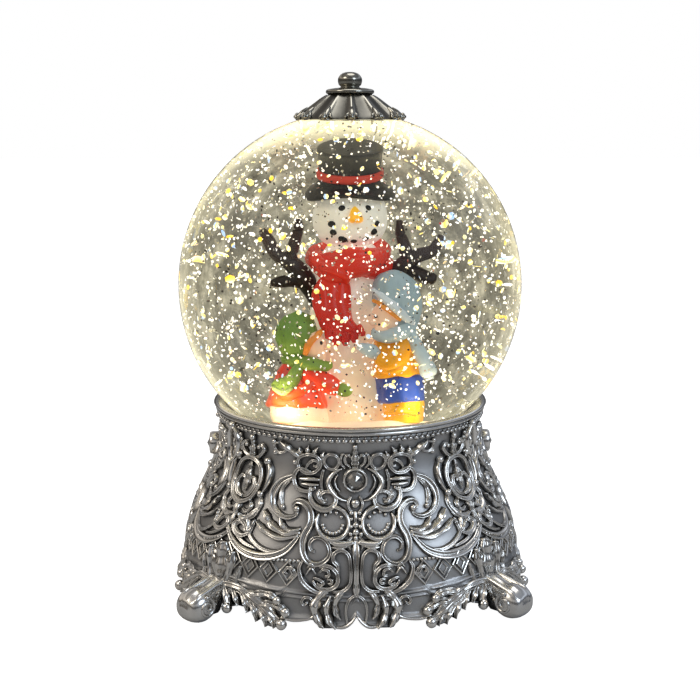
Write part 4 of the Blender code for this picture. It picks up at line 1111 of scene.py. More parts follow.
# ---------------------------------------------------------------- snow bank
# The figure stands on a bank of white resin snow, glued on the plug in the neck. Warm
# light from the lamps in the base comes up through it, and more is painted on: warm orange low down, and a
# faint glow.

def lumpy(made, size, depth):
    """Pushes the surface in and out along its normals by smooth noise."""
    moved = [vertex.co + vertex.normal * depth * noise.noise(vertex.co / size)
             for vertex in made.data.vertices]
    for vertex, place in zip(made.data.vertices, moved):
        vertex.co = place


# Painted light: the colour runs from Low at Bottom to High at Top, standing for the warm LED light from below
# and the lamps from above, broken up by noise.
painted, given = shader_group("painted_resin", {
    "Low": (1, 1, 1, 1), "High": (1, 1, 1, 1), "Bottom": 0.0, "Top": 0.1, "Grain Size": 700.0},
    ("Color", "Height"))
rise = span(painted, node(painted, "ShaderNodeSeparateXYZ", {
    0: node(painted, "ShaderNodeTexCoord").outputs["Object"]}).outputs[2], given["Bottom"], given["Top"])
mixed = maths(painted, "ADD", rise, span(painted, cloud_of(painted, 180.0, 3.0), 0.0, 1.0, -0.3, 0.3),
              use_clamp=True)
node(painted, "NodeGroupOutput", {
    0: blend_of(painted, mixed, given["Low"], given["High"]), 1: cloud_of(painted, given["Grain Size"], 4.0)})


def resin(name, low, high, bottom, top, glow, roughness=0.45, grain=700.0):
    """Painted resin with painted light: its colour changes from bottom to top as the light falls, and glow
    makes it shine a little by itself.
    """
    material, tree, shader = paint(name, roughness=roughness, Emission_Strength=glow)
    coat = with_group(tree, painted, {
        "Low": (*low, 1), "High": (*high, 1), "Bottom": bottom, "Top": top, "Grain Size": grain})
    finish_with(tree, shader, coat, 0.35, 0.0003)
    if glow:
        feed(tree, shader, {"Emission Color": coat["Color"]})
    return material


# Painted light: warm orange low down where the LEDs shine up, paler above, glowing a little.
snow_paint = resin("resin_snow", (0.90, 0.68, 0.48), (0.90, 0.86, 0.78), 0.052, 0.075, 0.16)
bank_rows = [(0.0004, 0.0560), (0.008, 0.0559), (0.015, 0.0555), (0.0195, 0.0548), (0.0225, 0.0530),
             (0.0245, 0.0505), (0.0262, 0.0475), (0.0266, 0.0450), (0.020, 0.0448), (0.0116, 0.0448),
             (0.0114, 0.0480), (0.0110, 0.0518), (0.0060, 0.0524), (0.0004, 0.0524)]
bank = turned_solid("snow_bank", [tuple(row) for row in through(bank_rows, 4)], 72, snow_paint)
lumpy(bank, 0.006, 0.0010)
fit(bank, "base", "snow", "snow_mound")


# ---------------------------------------------------------------- snowman
# The large figure is cast in milky resin: a tall body and a wide, apple-shaped head.
# Eyes and mouth are dots of black enamel, and the nose is painted orange.

def loft_solid(name, rings, steps, material, fold=0.0, folds=0):
    """A closed soft form through rings of (x, y, z, half width, half depth), in mm."""
    run = through(rings, 6)
    turns = np.linspace(0, 2 * math.pi, steps, endpoint=False)
    wave = 1 + fold * np.sin(folds * turns + 2.0 * np.arange(len(run))[:, None] / len(run))
    x = run[:, 0:1] + run[:, 3:4] * np.cos(turns) * wave
    y = run[:, 1:2] + run[:, 4:5] * np.sin(turns) * wave
    z = np.repeat(run[:, 2:3], steps, 1)
    points = (np.stack([x, y, z], -1) * MM).reshape(-1, 3)
    made = solid_piece(name, points, faces_of(len(run), steps), material)
    outward_faces(made)
    return made


def ball_piece(name, centre, size, material, steps=32):
    """A closed ball, stretched by size; centre and size are in mm."""
    form = bmesh.new()
    bmesh.ops.create_uvsphere(form, u_segments=steps, v_segments=steps // 2, radius=1)
    for vertex in form.verts:
        vertex.co = Vector([c + s * v for c, s, v in zip(centre, size, vertex.co)]) * MM
    mesh = bpy.data.meshes.new(name)
    form.to_mesh(mesh)
    form.free()
    mesh.materials.append(material)
    mesh.shade_smooth()
    made = bpy.data.objects.new(name, mesh)
    scene.collection.objects.link(made)
    return made


def joined(name, pieces):
    """Several finished pieces of one casting as one object."""
    form = bmesh.new()
    materials = []
    for made in pieces:
        first = len(form.faces)
        form.from_mesh(made.data)
        form.faces.ensure_lookup_table()
        offset = len(materials)
        for face in form.faces[first:]:
            face.material_index += offset
        materials += list(made.data.materials)
        bpy.data.objects.remove(made)
    mesh = bpy.data.meshes.new(name)
    form.to_mesh(mesh)
    form.free()
    for material in materials:
        mesh.materials.append(material)
    made = bpy.data.objects.new(name, mesh)
    scene.collection.objects.link(made)
    return made


# Painted light: warm and glowing at the foot where the LEDs shine up, paler towards the head.
milky = resin("milky_resin", (0.98, 0.76, 0.50), (0.92, 0.89, 0.78), 0.050, 0.096, 0.22, 0.35)
body = loft_solid("snowman_figure", [
    (0, 0.5, 55.2, 12.6, 9.6), (0, 0.5, 57.0, 13.2, 10.0), (0, 0.5, 64.0, 12.4, 10.2),
    (0, 0.5, 72.0, 10.6, 9.4),
    (0, 0.3, 78.0, 9.0, 8.0), (0, 0.0, 84.0, 8.6, 7.4), (0, 0.0, 90.0, 7.2, 6.6), (0, 0, 94.5, 5.6, 5.4),
    (0, 0, 96.0, 2.0, 2.0)], 64, milky)
lumpy(body, 0.007, 0.0008)
fit(body, "base", "snow", "snowman_body")
head = loft_solid("snowman_head", [
    (0, 0, 94.4, 1.0, 1.0), (0, 0, 94.8, 4.4, 4.2), (0, 0, 96.6, 7.0, 6.8), (0, 0, 99.4, 8.1, 7.8),
    (0, 0, 102.4, 8.1, 8.0), (0, 0, 105.0, 7.3, 7.3), (0, 0, 107.2, 5.6, 5.6), (0, 0, 107.8, 1.0, 1.0)], 64,
    milky)
lumpy(head, 0.009, 0.0004)
fit(head, "base", "snow")

enamel, enamel_tree, enamel_shader = paint("black_enamel", (0.010, 0.010, 0.011), 0.25)
feed(enamel_tree, enamel_shader, {
    "Roughness": span(enamel_tree, cloud_of(enamel_tree, 900.0), 0.0, 1.0, 0.15, 0.45)})


def head_skin(x, z):
    """How far forward the head's surface lies at a place on the face, in mm."""
    half = math.sqrt(max(0.02, 1 - ((z - 101.2) / 7.3) ** 2))
    return -8.0 * math.sqrt(max(0.02, half * half - (x / 8.1) ** 2))


dots = []
for x, z, size in ((-1.9, 104.2, 0.90), (3.6, 104.1, 0.85), (-4.3, 100.6, 0.85), (-3.9, 98.7, 0.80),
                   (-1.7, 97.3, 1.10), (0.6, 96.9, 0.80), (3.0, 97.4, 0.90), (4.9, 98.7, 0.90),
                   (5.7, 100.5, 0.75)):
    dots.append(ball_piece("dot", (x, head_skin(x, z), z), (size * 1.1, 0.6, size * 0.9), enamel, 12))
coals = joined("face_dots", dots)
fit(coals, "base", "hat_black")

# Painted light: the nose glows orange by itself and is lighter at its top.
carrot_paint = resin("carrot_orange", (1.0, 0.40, 0.02), (1.0, 0.56, 0.04), 0.100, 0.105, 0.38, 0.3)
nose = loft_solid("carrot", [(1.0, -6.4, 101.0, 0.3, 0.3), (1.0, -7.8, 101.2, 1.4, 1.3),
                             (1.0, -8.7, 102.1, 1.65, 1.8),
                             (0.9, -8.6, 103.2, 1.3, 1.5), (0.8, -8.1, 104.2, 0.8, 1.0),
                             (0.8, -7.8, 104.8, 0.2, 0.3)], 24, carrot_paint, 0.05, 5)
fit(nose, "base", "carrot", "carrot_nose")


# ---------------------------------------------------------------- top hat
# A felt-black top hat with a drooping, curled brim, cast on the head and painted, with
# a red ribbon round the crown.

# Painted light: a shade lighter at the top.
felt = resin("hat_felt", (0.006, 0.006, 0.007), (0.012, 0.012, 0.012), 0.100, 0.118, 0.0, 0.32, 1400.0)


def hat_mesh():
    """Brim and crown as one turned form, the brim hanging at the sides and arched in front."""
    rows = [(0.4, 0.6), (6.6, 0.5), (9.2, -0.3), (9.9, 0.1), (9.5, 0.7), (8.0, 1.5), (7.1, 2.4), (6.9, 3.4),
            (6.9, 6.0), (7.2, 8.6), (7.45, 9.7), (7.2, 10.25), (5.5, 10.35), (2.5, 10.2), (0.4, 10.15)]
    run = through(rows, 5)
    steps = 96
    points = []
    for r, h in run:
        for k in range(steps):
            a = 2 * math.pi * k / steps
            brim = max(0.0, (r - 7.0) / 2.9) if h < 2.0 else 0.0
            sag = (0.6 * math.sin(a) ** 2 - 1.2 * math.cos(a) ** 2 + 0.3 * math.sin(3 * a + 0.5)) * brim
            points.append((r * math.cos(a) * MM, r * 0.98 * math.sin(a) * MM, (106.6 + h + sag) * MM))
    return points, faces_of(len(run), steps)


hat = solid_piece("felt_hat", *hat_mesh(), felt)
outward_faces(hat)
fit(hat, "base", "hat_black", "top_hat")
# Painted light: lighter at its top edge and glowing a little.
ribbon_paint = resin("ribbon_red", (0.55, 0.03, 0.02), (0.72, 0.06, 0.03), 0.108, 0.112, 0.05, 0.5, 1600.0)
ribbon = turned_ring("hat_ribbon", [(r * MM, z * MM) for r, z in (
    (6.4, 109.7), (7.2, 109.75), (7.4, 110.1), (7.4, 111.3), (7.2, 111.65), (6.4, 111.7))], 96, ribbon_paint)
fit(ribbon, "base", "scarf_red", "hat_band")


# ---------------------------------------------------------------- scarf
# A red scarf in thick folds round the neck, knotted at one side, with a long fringed
# tail down the front. It is cast with the body and painted.

# Painted light: dark red down the tail, bright at the neck, and glowing a little.
scarf_paint = resin("scarf_wool", (0.44, 0.006, 0.004), (0.74, 0.034, 0.012), 0.070, 0.096, 0.13, 0.24,
                    1100.0)


def tube(name, rows, steps, material, flat=1.0, wrinkles=0.0, turn_count=0):
    """A closed tube through rows of (x, y, z, radius), in mm, tapered by its own radii."""
    run = through(rows, 6)
    path = run[:, :3]
    along = np.gradient(path, axis=0)
    along /= np.linalg.norm(along, axis=1, keepdims=True)
    side = np.cross(along, (0, 0, 1.0))
    weak = np.linalg.norm(side, axis=1) < 0.2
    side[weak] = np.cross(along[weak], (0, 1.0, 0))
    side /= np.linalg.norm(side, axis=1, keepdims=True)
    for i in range(1, len(side)):
        if np.dot(side[i], side[i - 1]) < 0:
            side[i] *= -1
    up = np.cross(side, along)
    turns = np.linspace(0, 2 * math.pi, steps, endpoint=False)
    ripple = 1 + wrinkles * np.sin(turn_count * turns + np.linspace(0, 5, len(run))[:, None])
    points = (path[:, None] + run[:, 3, None, None] * ripple[..., None] * (
        np.cos(turns)[None, :, None] * side[:, None] * flat + np.sin(turns)[None, :, None] * up[:, None]))
    made = solid_piece(name, (points * MM).reshape(-1, 3), faces_of(len(run), steps), material)
    outward_faces(made)
    return made


def neck_roll(name, radius_x, radius_y, height, tilt, thick, material):
    rows = [(radius_x * math.cos(a), radius_y * math.sin(a),
             height + tilt * math.cos(a) + 0.4 * math.sin(3 * a),
             thick * (1 + 0.12 * math.sin(2 * a + height)))
            for a in np.linspace(0, 2 * math.pi, 17)]
    return tube(name, rows, 20, material, 0.9, 0.05, 5)


scarf_parts = [
    neck_roll("roll", 7.4, 7.0, 92.7, 0.6, 2.0, scarf_paint),
    neck_roll("roll", 7.9, 7.4, 91.0, -0.8, 2.0, scarf_paint),
    ball_piece("knot", (-3.8, -10.4, 90.0), (3.0, 2.0, 2.6), scarf_paint, 28),
    tube("knot_fold", [(-6.6, -9.4, 91.4, 0.9), (-4.4, -12.0, 91.2, 1.2), (-1.6, -11.6, 89.6, 1.1),
                       (-1.6, -10.4, 87.8, 0.8)], 14, scarf_paint, 1.2, 0.06, 3),
    tube("fold", [(-8.2, -4.6, 92.6, 1.6), (-5.6, -8.2, 90.6, 2.2), (-1.0, -9.6, 91.0, 2.3),
                  (4.0, -8.9, 91.9, 2.1), (7.6, -5.2, 93.6, 1.5)], 20, scarf_paint, 0.9, 0.08, 5),
]
for shift, end_x, end_z, thick in ((-1.7, -4.6, 77.2, 2.0), (0.1, -2.2, 76.2, 2.2), (2.0, 0.6, 77.2, 2.0)):
    scarf_parts.append(tube("tail", [
        (-3.4 + 0.4 * shift, -9.2, 89.4, 1.4), (-4.6 + shift, -10.0, 86.6, thick),
        (-4.6 + shift, -11.2, 82.6, thick * 1.08), (-3.6 + shift, -12.0, 79.2, thick),
        (end_x, -12.7, end_z, 1.3)],
        18, scarf_paint, 1.15, 0.06, 4))
for root_x, end_x, end_z, thick in ((-5.0, -5.6, 75.4, 1.0), (-3.4, -3.6, 73.8, 1.1), (-1.6, -1.4, 73.9, 1.1),
                                    (0.2, 0.6, 74.6, 1.0), (1.2, 3.0, 76.6, 0.9)):
    scarf_parts.append(tube("loose_end", [
        (root_x, -12.5, 78.4, thick), (root_x * 0.5 + end_x * 0.5, -12.9, 0.5 * end_z + 38.6, thick),
        (end_x, -13.1, end_z, 0.45)], 12, scarf_paint, 1.1, 0.08, 3))
scarf = joined("red_scarf", scarf_parts)
fit(scarf, "base", "scarf_red", "snowman_scarf")


# ---------------------------------------------------------------- twig arms
# Two forked twigs of dark brown resin, pinned in the sides of the body.

# Painted light: a little lighter towards the top.
bark_paint = resin("twig_bark", (0.010, 0.005, 0.003), (0.034, 0.014, 0.009), 0.084, 0.100, 0.0, 0.45, 1500.0)


def twig(name, branches, replaced):
    parts = [tube("branch", [(x, y, z, 1.25 * r) for x, y, z, r in rows], 14, bark_paint, 1.0, 0.10, 3)
             for rows in branches]
    made = joined(name, parts)
    fit(made, "base", "bark", replaced)


twig("left_twig", [
    [(-6.6, -1.0, 82.6, 1.7), (-8.2, -1.6, 85.2, 1.7), (-10.6, -2.0, 88.4, 1.7), (-13.0, -2.2, 91.0, 1.5),
     (-16.4, -2.2, 93.2, 1.2), (-18.2, -2.0, 96.4, 1.1), (-19.5, -1.8, 98.6, 0.6)],
    [(-12.4, -2.2, 90.2, 1.2), (-12.9, -2.4, 93.4, 1.1), (-12.0, -2.6, 96.4, 1.0), (-11.3, -2.6, 99.2, 0.9),
     (-11.5, -2.6, 101.0, 0.5)],
    [(-9.4, -2.0, 86.6, 1.1), (-12.6, -2.6, 87.4, 1.1), (-15.6, -2.8, 87.0, 1.0), (-17.5, -2.8, 86.9, 0.5)]],
    "twig_arm_left")
twig("right_twig", [
    [(6.8, -1.0, 84.6, 1.7), (9.0, -1.6, 88.0, 1.7), (11.6, -2.0, 90.4, 1.6), (14.4, -2.2, 92.4, 1.3),
     (17.8, -2.2, 93.6, 1.1), (19.2, -2.0, 95.6, 0.9), (19.9, -1.8, 97.2, 0.5)],
    [(13.0, -2.2, 91.4, 1.2), (11.8, -2.4, 94.6, 1.1), (10.9, -2.6, 97.6, 0.9), (10.6, -2.6, 100.6, 0.5)],
    [(12.4, -2.0, 90.0, 1.1), (15.0, -2.6, 88.6, 1.2), (17.4, -2.8, 87.6, 1.1), (18.4, -2.8, 88.8, 0.5)]],
    "twig_arm_right")


# ---------------------------------------------------------------- children
# Two small figures in winter clothes hug the snowman from both sides. Each is one
# casting, painted by hand: coat, knitted hat, scarf with a loose end, mitten and face.

# Painted light in each of these paints: the colour changes with height, the coats and wool brighter low down
# where the LEDs shine up, the skin and hair lighter above, and each glows a little.
skin = resin("painted_skin", (0.82, 0.50, 0.32), (0.88, 0.62, 0.44), 0.066, 0.084, 0.20, 0.40)
hair = resin("painted_hair", (0.75, 0.22, 0.02), (0.80, 0.30, 0.04), 0.066, 0.084, 0.1, 0.5)
coat_red = resin("coat_red", (0.98, 0.13, 0.012), (0.80, 0.035, 0.012), 0.057, 0.068, 0.14, 0.28)
wool_green = resin("wool_green", (0.24, 0.36, 0.05), (0.12, 0.24, 0.03), 0.060, 0.080, 0.12, 0.55, 1100.0)
coat_yellow = resin("coat_yellow", (0.86, 0.42, 0.005), (0.82, 0.33, 0.004), 0.056, 0.076, 0.12, 0.25)
coat_blue = resin("coat_blue", (0.022, 0.075, 0.42), (0.018, 0.055, 0.34), 0.060, 0.067, 0.08, 0.35)
wool_blue = resin("wool_blue", (0.48, 0.58, 0.62), (0.31, 0.42, 0.47), 0.066, 0.088, 0.10, 0.55, 1100.0)
trim_green = resin("trim_green", (0.40, 0.50, 0.16), (0.30, 0.42, 0.12), 0.060, 0.070, 0.12, 0.55, 1100.0)
trim_blue = resin("trim_blue", (0.60, 0.66, 0.68), (0.55, 0.62, 0.66), 0.070, 0.090, 0.12, 0.55, 1100.0)

left_parts = [
    loft_solid("skirt", [(-12.0, -8.6, 54.4, 6.4, 6.2), (-12.0, -8.6, 57.0, 6.8, 6.6),
                         (-12.2, -8.6, 60.2, 6.0, 5.8),
                         (-12.0, -8.4, 61.8, 3.0, 3.0)], 48, milky, 0.03, 6),
    loft_solid("coat", [(-12.4, -8.8, 58.8, 3.0, 3.0), (-12.4, -8.8, 59.1, 6.8, 6.4),
                        (-12.4, -8.8, 61.8, 6.4, 6.2),
                        (-12.2, -8.6, 65.8, 5.0, 5.0), (-11.6, -8.4, 69.4, 3.9, 4.0),
                        (-11.0, -8.4, 71.2, 2.4, 2.4)],
               48, coat_red, 0.045, 7),
    tube("sleeve", [(-11.0, -11.0, 68.0, 2.5), (-8.4, -13.0, 66.2, 2.6), (-5.4, -13.9, 64.8, 2.3),
                    (-3.2, -13.8, 64.0, 1.9)], 18, coat_red, 1.0, 0.06, 3),
    tube("coat_fold", [(-16.6, -12.2, 61.0, 1.0), (-14.2, -14.6, 62.0, 1.4), (-11.0, -15.2, 64.0, 1.3),
                       (-8.6, -14.6, 65.6, 0.8)], 14, coat_red, 1.0, 0.06, 3),
    tube("mitten", [(-3.8, -13.8, 64.1, 1.3), (-2.4, -13.9, 63.8, 1.6), (-0.8, -13.7, 63.2, 1.3),
                    (-0.1, -13.6, 63.0, 0.5)], 16, wool_green),
    ball_piece("face", (-8.6, -11.4, 73.8), (2.9, 3.2, 3.2), skin, 28),
    ball_piece("nose", (-5.6, -13.0, 73.4), (0.8, 0.7, 0.6), skin, 12),
    ball_piece("chin", (-7.4, -12.8, 71.4), (1.5, 1.4, 1.2), skin, 16),
    tube("hair", [(-6.6, -12.2, 77.4, 0.5), (-8.2, -14.2, 76.2, 0.7), (-10.0, -14.6, 74.2, 0.8),
                  (-10.8, -14.2, 72.0, 0.5)], 12, hair, 1.0, 0.12, 3),
    loft_solid("hat", [(-11.4, -8.8, 71.0, 3.2, 3.4), (-11.9, -9.2, 72.6, 4.3, 4.6),
                       (-12.3, -9.4, 75.2, 4.7, 5.0),
                       (-12.3, -9.2, 78.0, 4.4, 4.6), (-12.0, -9.0, 80.2, 2.9, 3.0),
                       (-12.0, -9.0, 81.2, 0.6, 0.6)],
               48, wool_green, 0.045, 11),
    tube("wrap", [(-14.8, -9.0, 70.4, 1.3), (-12.6, -12.6, 70.0, 1.6), (-9.2, -13.8, 69.6, 1.6),
                  (-6.4, -13.0, 69.2, 1.4), (-4.8, -12.0, 69.4, 0.9)], 16, wool_green, 1.0, 0.08, 3),
    tube("loose_end", [(-11.4, -13.0, 70.2, 1.4), (-12.8, -14.2, 67.8, 1.6), (-14.4, -14.8, 65.4, 1.9),
                       (-16.8, -14.4, 64.0, 1.9), (-18.2, -13.8, 65.2, 1.0)], 16, wool_green, 0.7, 0.06, 3),
    tube("edge", [(-14.0, -15.8, 64.0, 0.5), (-16.4, -16.0, 62.6, 0.6), (-18.6, -15.0, 63.8, 0.5)], 8,
         trim_green),
    ball_piece("eye", (-7.0, -14.0, 74.6), (0.45, 0.35, 0.5), enamel, 8),
]
child_one = joined("red_coat_child", left_parts)
lumpy(child_one, 0.0022, 0.00028)
fit(child_one, "base", "child_red", "child_left")

right_parts = [
    loft_solid("hem", [(12.0, -8.6, 54.6, 4.2, 5.4), (12.0, -8.6, 57.0, 4.5, 5.7),
                       (11.8, -8.6, 60.6, 4.5, 5.5),
                       (11.6, -8.6, 61.6, 3.0, 3.0)], 48, coat_yellow, 0.03, 8),
    tube("hem_fold", [(8.2, -11.4, 57.6, 0.8), (11.2, -14.4, 58.2, 1.0), (15.2, -12.6, 57.4, 0.8)],
         12, coat_yellow, 1.0, 0.06, 3),
    loft_solid("band", [(11.2, -8.6, 60.2, 3.0, 3.0), (11.2, -8.6, 60.6, 5.1, 6.0),
                        (11.0, -8.6, 63.4, 5.1, 6.0),
                        (10.6, -8.6, 66.6, 5.2, 5.9), (10.4, -8.6, 67.0, 3.0, 3.0)], 48, coat_blue, 0.03, 8),
    loft_solid("coat", [(10.0, -8.6, 66.2, 3.0, 3.0), (10.0, -8.6, 66.5, 5.3, 5.9),
                        (9.8, -8.8, 69.8, 5.0, 5.8),
                        (9.6, -8.8, 73.4, 4.6, 5.0), (9.6, -8.6, 77.0, 4.2, 4.4),
                        (9.6, -8.6, 78.8, 2.4, 2.4)],
               48, coat_yellow, 0.05, 5),
    tube("sleeve", [(12.2, -11.2, 75.2, 2.1), (10.8, -13.6, 72.0, 2.5), (8.4, -14.4, 70.0, 2.3),
                    (6.0, -13.8, 70.8, 1.9)], 18, coat_yellow, 1.0, 0.06, 3),
    tube("sleeve_fold", [(13.0, -12.0, 71.0, 0.8), (10.2, -15.0, 68.6, 1.1), (6.6, -14.0, 68.2, 0.9)],
         14, coat_yellow, 1.0, 0.06, 3),
    tube("mitten", [(6.0, -13.9, 71.6, 1.2), (4.2, -13.9, 72.8, 1.6), (2.4, -13.5, 73.4, 1.3),
                    (1.4, -13.2, 73.6, 0.5)], 16, wool_blue),
    ball_piece("face", (8.2, -10.6, 80.4), (3.7, 3.9, 3.9), skin, 28),
    ball_piece("nose", (4.8, -12.4, 79.2), (0.9, 0.75, 0.7), skin, 12),
    ball_piece("chin", (6.8, -12.6, 77.6), (1.7, 1.6, 1.3), skin, 16),
    tube("hair", [(4.8, -12.4, 84.2, 0.45), (6.6, -14.0, 83.2, 0.6), (9.2, -14.8, 81.4, 0.6),
                  (11.0, -14.4, 79.8, 0.4)], 12, hair, 1.0, 0.12, 3),
    loft_solid("hat", [(10.8, -8.4, 77.2, 3.4, 4.0), (10.8, -8.6, 79.4, 4.5, 5.0),
                       (10.4, -8.6, 82.6, 5.3, 5.8),
                       (9.8, -8.6, 86.0, 5.2, 5.6), (9.4, -8.6, 88.8, 3.9, 4.1), (9.4, -8.6, 90.4, 0.8, 0.8)],
               48, wool_blue, 0.035, 13),
    tube("brim", [(4.6, -11.4, 86.4, 0.6), (6.8, -13.6, 85.0, 0.9), (9.8, -14.9, 82.6, 1.0),
                  (12.2, -14.2, 80.4, 0.9), (13.8, -12.6, 78.6, 0.6)], 16, trim_blue, 1.0, 0.12, 4),
    tube("wrap", [(5.0, -12.0, 76.8, 1.2), (8.0, -14.0, 76.0, 1.6), (11.2, -14.0, 76.8, 1.7),
                  (13.8, -11.4, 78.4, 1.4)], 16, wool_blue, 1.0, 0.08, 3),
    tube("loose_end", [(12.4, -12.8, 77.4, 1.4), (14.4, -13.6, 74.2, 1.5), (16.2, -14.0, 70.6, 1.7),
                       (17.6, -13.8, 67.6, 2.0), (18.0, -13.6, 65.8, 1.0)], 16, wool_blue, 0.8, 0.06, 3),
    ball_piece("eye", (5.4, -13.8, 80.6), (0.5, 0.35, 0.4), enamel, 8),
]
child_two = joined("yellow_coat_child", right_parts)
lumpy(child_two, 0.0022, 0.00028)
fit(child_two, "base", "child_yellow", "child_right")


# ---------------------------------------------------------------- lamps of the base
# Warm LEDs on a ring board shine up through the clear plug and light the snow, the
# figure and the flakes from below.

for turn in (0.25, 0.75, 1.25, 1.75):
    glow = bpy.data.lights.new(f"warm_led_{turn}", "POINT")
    glow.energy = 0.010
    glow.color = (1.0, 0.80, 0.50)
    glow.shadow_soft_size = 0.004
    holder = bpy.data.objects.new(glow.name, glow)
    holder.location = (0.027 * math.sin(turn * math.pi), -0.027 * math.cos(turn * math.pi), 0.060)
    holder.visible_camera = False
    holder.visible_transmission = False
    holder.visible_glossy = False
    scene.collection.objects.link(holder)


# ---------------------------------------------------------------- cap
# A fluted umbrella of dark chrome is glued on the crown of the ball: a scalloped skirt
# with flutes, a turned collar and a ball on top.

FLUTES = 12


def cap_skirt():
    """The skirt of the cap, with a rib between its flutes, closed on its inner side."""
    steps = FLUTES * 20
    turns = np.linspace(0, 2 * math.pi, steps, endpoint=False)
    run = through([(6.6, 140.7), (8.0, 139.7), (10.0, 138.0), (12.2, 136.2), (13.9, 134.9), (14.9, 133.9)], 6)
    t = np.linspace(0, 1, len(run))[:, None]
    rib = np.abs(np.cos(turns * FLUTES / 2))
    form = rib ** 10 - 0.45 * (1 - rib ** 2)
    reach = run[:, 0:1] + (0.15 + 0.75 * t) * form
    height = run[:, 1:2] + (0.15 + 0.55 * t) * form - 0.5 * t ** 8 * rib
    ring_r = np.concatenate([reach, (reach - 0.7)[::-1]])
    ring_z = np.concatenate([height, (height - 0.8)[::-1]])
    points = np.stack([ring_r * np.cos(turns), ring_r * np.sin(turns), ring_z], -1) * MM
    # Painted shade: bright on the ribs, darker in the flutes, and dark all over the underside.
    crest = np.clip(np.concatenate([0.45 + 0.55 * form * np.ones_like(t), 0 * (t * form)]), 0, 1)
    return points.reshape(-1, 3), faces_of(len(ring_r), steps, True), crest.reshape(-1)


def ring_of_tree():
    """Copies of the start mesh round a circle, each turned to face outwards."""
    tree, start = growing_tree("ring_of_copies", Geometry="Geometry", Copies=12)
    points = node(tree, "GeometryNodePoints", {"Count": start["Copies"]})
    turn = maths(tree, "MULTIPLY", node(tree, "GeometryNodeInputIndex"),
                 maths(tree, "DIVIDE", 2 * math.pi, start["Copies"]))
    set_on = node(tree, "GeometryNodeInstanceOnPoints", {
        "Points": points, "Instance": start["Geometry"],
        "Rotation": node(tree, "ShaderNodeCombineXYZ", {2: turn})})
    return full_grown(tree, start, set_on, 0.9)


skirt_points, skirt_faces, skirt_crest = cap_skirt()
skirt = solid_piece("cap_umbrella", skirt_points, skirt_faces, dark_chrome, skirt_crest)
outward_faces(skirt)
fit(skirt, "base", "cap_silver", "fluted_cap")
curl_parts = [
    tube("curl", [(12.0, 0, 137.2, 0.3), (13.4, 0, 136.0, 0.7), (14.6, 0, 134.7, 0.85), (15.3, 0, 134.5, 0.7),
                  (15.2, 0, 135.3, 0.5), (14.7, 0, 135.5, 0.25)], 10, dark_chrome, 1.3),
    tube("lobe", [(13.0, 0.4, 136.0, 0.3), (14.0, 1.3, 135.0, 0.55), (14.6, 2.0, 134.3, 0.25)], 8,
         dark_chrome),
    tube("lobe", [(13.0, -0.4, 136.0, 0.3), (14.0, -1.3, 135.0, 0.55), (14.6, -2.0, 134.3, 0.25)], 8,
         dark_chrome),
]
curl = joined("cap_curl", curl_parts)
curls = grown("cap_curls", ring_of_tree(), {"Copies": FLUTES, "Finish": dark_chrome}, curl.data)
bpy.data.objects.remove(curl)
curls.data.shade_smooth()
fit(curls, "base", "cap_silver")
knob_rows = [(0.2, 138.6), (6.3, 138.8), (6.7, 139.8), (6.3, 140.3), (6.3, 140.8), (6.9, 141.4), (6.6, 142.2),
             (4.8, 142.6), (3.0, 142.8), (2.7, 143.1), (3.2, 143.6), (3.45, 144.6), (3.3, 145.6),
             (2.5, 146.6), (1.3, 147.1), (0.2, 147.2)]
knob = turned_solid("cap_knob", [(r * MM, z * MM) for r, z in through(knob_rows, 5)], 64, dark_chrome)
knob.data.attributes.new("crest", "FLOAT", "POINT").data.foreach_set(
    "value", np.full(len(knob.data.vertices), 0.85, np.float32))
fit(knob, "base", "cap_silver", "finial_knob")


# ---------------------------------------------------------------- mechanism and underside
# The parts that the casting hides keep their shapes: the plug and the stirrer, the lamp
# board, the motor on its plate, the cells in their holder, and the cover with its door.

def carried(names, material):
    """Gives the carried-over parts their finish."""
    for name in names:
        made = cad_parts[name]
        made.data.materials.clear()
        made.data.materials.append(material)


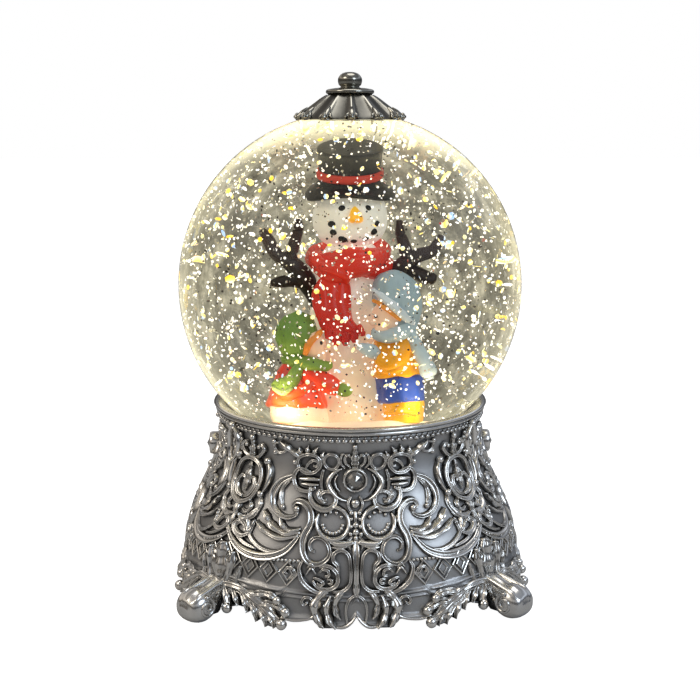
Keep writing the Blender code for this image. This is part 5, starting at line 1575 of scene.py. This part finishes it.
moulding, given = shader_group("moulded_grain", {
    "Colour": (1, 1, 1, 1), "Smooth": 0.3, "Rough": 0.5, "Grain Size": 900.0},
    ("Color", "Roughness", "Height"))
level = span(moulding, cloud_of(moulding, 90.0), 0.0, 1.0, 0.88, 1.1)
fine = cloud_of(moulding, given["Grain Size"], 3.0)
node(moulding, "NodeGroupOutput", {
    0: node(moulding, "ShaderNodeVectorMath", {0: given["Colour"], "Scale": level}, operation="SCALE"),
    1: span(moulding, fine, 0.0, 1.0, given["Smooth"], given["Rough"]), 2: fine})


def moulded(name, colour, roughness, grain, bump=0.15, **more):
    """Moulded plastic or plain metal with a fine, uneven surface."""
    material, tree, shader = paint(name, colour, roughness, **more)
    finish_with(tree, shader, with_group(tree, moulding, {
        "Colour": (*colour, 1), "Smooth": roughness * 0.8, "Rough": roughness * 1.25, "Grain Size": grain}),
        bump)
    return material


black_plastic = moulded("black_plastic", (0.018, 0.018, 0.019), 0.45, 1600.0)
white_plastic = moulded("white_plastic", (0.80, 0.80, 0.78), 0.40, 1500.0)
steel = moulded("bright_steel", (0.56, 0.56, 0.57), 0.28, 900.0, metallic=1.0)
brass = moulded("contact_brass", (0.72, 0.52, 0.24), 0.25, 900.0, metallic=1.0)
magnet_paint = moulded("magnet_nickel", (0.35, 0.35, 0.36), 0.3, 900.0, metallic=1.0)
board_paint = moulded("board_green", (0.02, 0.16, 0.07), 0.35, 1100.0)
sleeve_paint = moulded("cell_sleeve", (0.03, 0.06, 0.16), 0.3, 700.0)
led_paint = paint("led_lens", (1.0, 0.9, 0.7), 0.2, Emission_Color=(1.0, 0.75, 0.42, 1),
                  Emission_Strength=3.0)[0]
rubber = clear("clear_rubber", (0.95, 0.94, 0.90), 1.41)[0]

carried(["bottom_cover", "battery_door", "battery_holder", "mechanism_plate", "switch_body"], black_plastic)
carried(["switch_slider", "drive_rotor", "impeller"], white_plastic)
carried(["motor", "motor_shaft", "impeller_pin"], steel)
carried([f"cover_screw_{k}" for k in (1, 2, 3, 4)] + [f"plate_screw_{k}" for k in (1, 2, 3, 4)], steel)
carried([f"contact_spring_{k}" for k in (1, 2, 3)] + ["contact_plate_left", "contact_plate_right"], brass)
carried(["drive_magnet_1", "drive_magnet_2", "impeller_magnet"], magnet_paint)
carried(["led_board"], board_paint)
carried([f"led_{k}" for k in (1, 2, 3, 4)], led_paint)
carried([f"battery_{k}" for k in (1, 2, 3)], sleeve_paint)
carried(["globe_plug"], rubber)
